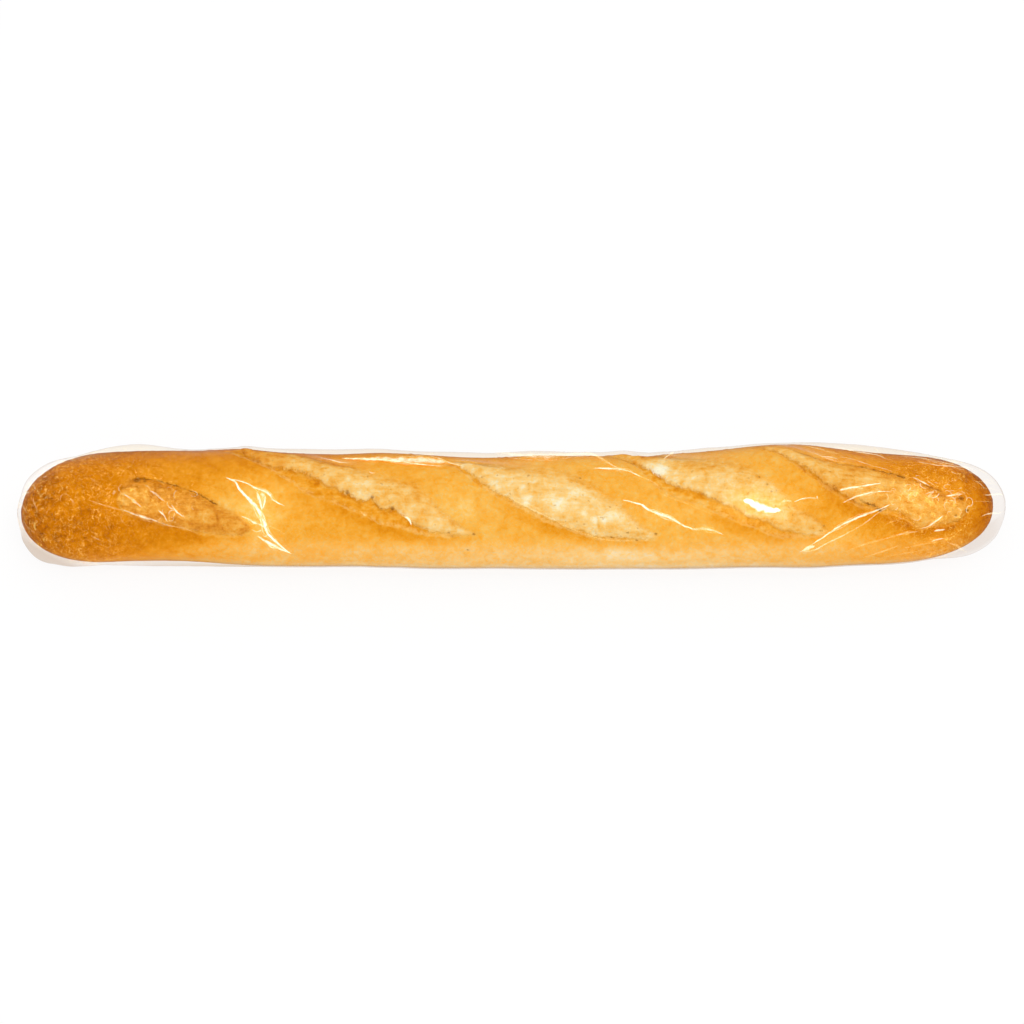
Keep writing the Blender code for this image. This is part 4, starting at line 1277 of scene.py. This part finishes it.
    # grain
    grain = n.maths("MULTIPLY_ADD", n.maths("SUBTRACT", tiny, 0.5), n.spread(ends, 0, 1, 0.34, 0.50), 1.0)
    grain = n.maths("MULTIPLY_ADD", n.maths("SUBTRACT", small, 0.5), 0.20, grain)
    n.link(n.scaled(colour, grain), surface.inputs["Base Color"])
    n.link(n.spread(crumb, 0, 1, 0.50, 0.85), surface.inputs["Roughness"])
    surface.inputs["Specular IOR Level"].default_value = 0.03
    # relief finer than the mesh
    height = n.maths("MULTIPLY_ADD", tiny, 0.35, small)
    height = n.maths("MULTIPLY_ADD", medium, 0.8, height)
    height = n.maths("MULTIPLY_ADD", n.maths("MULTIPLY", fibre, crumb), 0.9, height)
    height = n.maths("MULTIPLY_ADD", lip, 0.9, height)
    height = n.maths("MULTIPLY_ADD", pit, -0.8, height)
    height = n.maths("MULTIPLY_ADD", crack, -1.0, height)
    n.link(n.bump(height, 0.0007, 0.75), surface.inputs["Normal"])
    return material


def film_material():
    material = bpy.data.materials.new("clear film")
    n = Nodes(material)
    n.tree.nodes.remove(n.tree.nodes["Principled BSDF"])
    out = n.tree.nodes["Material Output"]
    # fine creases: thin lines where two noises cross their middle value, used as bumps in the gloss and also as
    # painted glints
    crackle = n.attribute("crackle")
    first = n.noise(4.2, 1.0, 0.5, distort=0.5)
    second = n.noise(2.6, 1.0, 0.5, distort=0.4)
    patches = n.noise(6.0, 2.0, 0.6)
    one = n.spread(n.maths("ABSOLUTE", n.maths("SUBTRACT", first, 0.5)), 0.004, 0.020, 1.0, 0.0, smooth=True)
    two = n.spread(n.maths("ABSOLUTE", n.maths("SUBTRACT", second, 0.5)), 0.004, 0.024, 1.0, 0.0, smooth=True)
    lines = n.maths("MAXIMUM", one, n.maths("MULTIPLY", two, 0.7))
    shown = n.maths("MULTIPLY", n.spread(patches, 0.42, 0.62, 0.16, 1.0, smooth=True), crackle)
    lines = n.maths("MULTIPLY", lines, shown)
    # a thin sheet reflects alike from both sides, most where it is seen edge on
    facing = node(n.tree, "ShaderNodeLayerWeight")
    facing.inputs["Blend"].default_value = 0.5
    skin = n.attribute("skin")
    steep = n.maths("MULTIPLY", n.maths("POWER", facing.outputs["Facing"], 5.0), skin)
    gloss = node(n.tree, "ShaderNodeBsdfGlossy")
    gloss.inputs["Color"].default_value = (1, 1, 1, 1)
    gloss.inputs["Roughness"].default_value = 0.10
    wrinkled = n.maths("MULTIPLY_ADD", lines, 0.5, n.maths("MULTIPLY", n.maths("MULTIPLY", first, second), crackle))
    n.link(n.bump(wrinkled, 0.0012, 0.9), gloss.inputs["Normal"])
    through = node(n.tree, "ShaderNodeBsdfTransparent")
    edge_on = n.maths("MULTIPLY", n.spread(n.maths("POWER", facing.outputs["Facing"], 7.0), 0, 1, 0, 0.8), skin)
    n.link(n.blend(edge_on, n.attribute("tint", "Color"), (0.74, 0.66, 0.60)), through.inputs["Color"])
    clear = node(n.tree, "ShaderNodeMixShader")
    n.link(n.spread(steep, 0, 1, 0.001, 0.34), clear.inputs["Fac"])
    n.link(through.outputs["BSDF"], clear.inputs[1])
    n.link(gloss.outputs["BSDF"], clear.inputs[2])
    # painted highlight: creases are drawn white where the light would catch them
    white = node(n.tree, "ShaderNodeBsdfDiffuse")
    glint = n.noise(1.6, 2.0, 0.6)
    crease_glint = n.maths("MULTIPLY", n.attribute("crease_glint"), n.spread(glint, 0.30, 0.55, 0.72, 1.0))
    caught = n.maths("MAXIMUM", n.spread(crease_glint, 0.34, 0.95, 0.03, 0.92), n.maths("MULTIPLY", lines, 0.02))
    caught = n.maths("MULTIPLY", caught, n.spread(n.maths("MAXIMUM", crease_glint, lines), 0.0, 0.06))
    cream = n.blend(n.spread(crease_glint, 0.20, 0.55), (1.0, 0.80, 0.28), (1.0, 0.91, 0.70))
    n.link(n.blend(n.spread(crease_glint, 1.05, 1.25), cream, (1.0, 1.0, 1.0)), white.inputs["Color"])
    mixed = node(n.tree, "ShaderNodeMixShader")
    n.link(caught, mixed.inputs["Fac"])
    n.link(clear.outputs["Shader"], mixed.inputs[1])
    n.link(white.outputs["BSDF"], mixed.inputs[2])
    # painted highlight: the lamp's glint in the fine creases, and the painted sheen, are added as light over what
    # shows through them
    spark = node(n.tree, "ShaderNodeBsdfDiffuse")
    n.link(n.scaled(n.blend(n.spread(crease_glint, 0.15, 0.45), (1.0, 0.76, 0.18), (1.0, 0.95, 0.66)), n.maths("ADD", n.maths("MAXIMUM", n.maths("MULTIPLY", lines, 0.50), n.maths("MULTIPLY", crease_glint, 0.42)), n.attribute("painted_sheen"))), spark.inputs["Color"])
    added = node(n.tree, "ShaderNodeAddShader")
    n.link(mixed.outputs["Shader"], added.inputs[0])
    n.link(spark.outputs["BSDF"], added.inputs[1])
    n.link(added.outputs["Shader"], out.inputs["Surface"])
    material.diffuse_color = (1, 1, 1, 0.2)
    return material


# ---------------------------------------------------------------------------
# table, light and camera
# ---------------------------------------------------------------------------
def make_table():
    mesh = bpy.data.meshes.new("table")
    size = 6.0
    mesh.from_pydata([(-size, -size, 0), (size, -size, 0), (size, size, 0), (-size, size, 0)], [], [(0, 1, 2, 3)])
    material = bpy.data.materials.new("table white")
    material.use_nodes = True
    surface = material.node_tree.nodes["Principled BSDF"]
    surface.inputs["Base Color"].default_value = (0.10, 0.10, 0.10, 1)
    surface.inputs["Roughness"].default_value = 0.9
    surface.inputs["Specular IOR Level"].default_value = 0.0
    surface.inputs["Emission Color"].default_value = (1, 1, 1, 1)
    surface.inputs["Emission Strength"].default_value = 0.90
    table = show(mesh, material)
    table.location.z = -0.0002


def area_light(name, place, aim, size, size_y, power, colour=(1, 1, 1)):
    light = bpy.data.lights.new(name, "AREA")
    light.shape = "RECTANGLE"
    light.size = size
    light.size_y = size_y
    light.energy = power
    light.color = colour
    lamp = bpy.data.objects.new(name, light)
    bpy.context.scene.collection.objects.link(lamp)
    lamp.location = place
    turn_to(lamp, aim)
    return lamp


def turn_to(thing, aim):
    from mathutils import Vector

    thing.rotation_euler = (Vector(aim) - Vector(thing.location)).to_track_quat("-Z", "Y").to_euler()


def make_lights():
    world = bpy.data.worlds.new("soft white")
    bpy.context.scene.world = world
    world.use_nodes = True
    background = world.node_tree.nodes["Background"]
    background.inputs["Color"].default_value = (1, 1, 1, 1)
    background.inputs["Strength"].default_value = 0.98
    area_light("key", (0.25, -0.50, 1.55), (0, 0, 0.02), 0.50, 0.35, 3.6)


def make_camera():
    distance = 5.0
    camera = bpy.data.cameras.new("camera")
    camera.sensor_width = 36.0
    camera.lens = 36.0 * distance / (1024 * VIEW_UNIT * MM)
    camera.clip_start = 0.05
    camera.clip_end = 50.0
    aim = (0.0003, -0.00465, 0.02524)
    lens = bpy.data.objects.new("camera", camera)
    bpy.context.scene.collection.objects.link(lens)
    lens.location = (
        aim[0],
        aim[1] - distance * math.cos(VIEW_ELEVATION),
        aim[2] + distance * math.sin(VIEW_ELEVATION),
    )
    turn_to(lens, aim)
    bpy.context.scene.camera = lens


bread = show(make_bread(), crust_material())
film = show(make_film(), film_material())
for piece, slot in ((bread, "crust"), (film, "film")):
    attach(piece, "root")
    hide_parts("wrapped_baguette")

make_table()
make_lights()
make_camera()
bpy.context.scene.view_settings.view_transform = "Standard"
bpy.context.scene.cycles.transparent_max_bounces = 32  # creased film lies in several layers
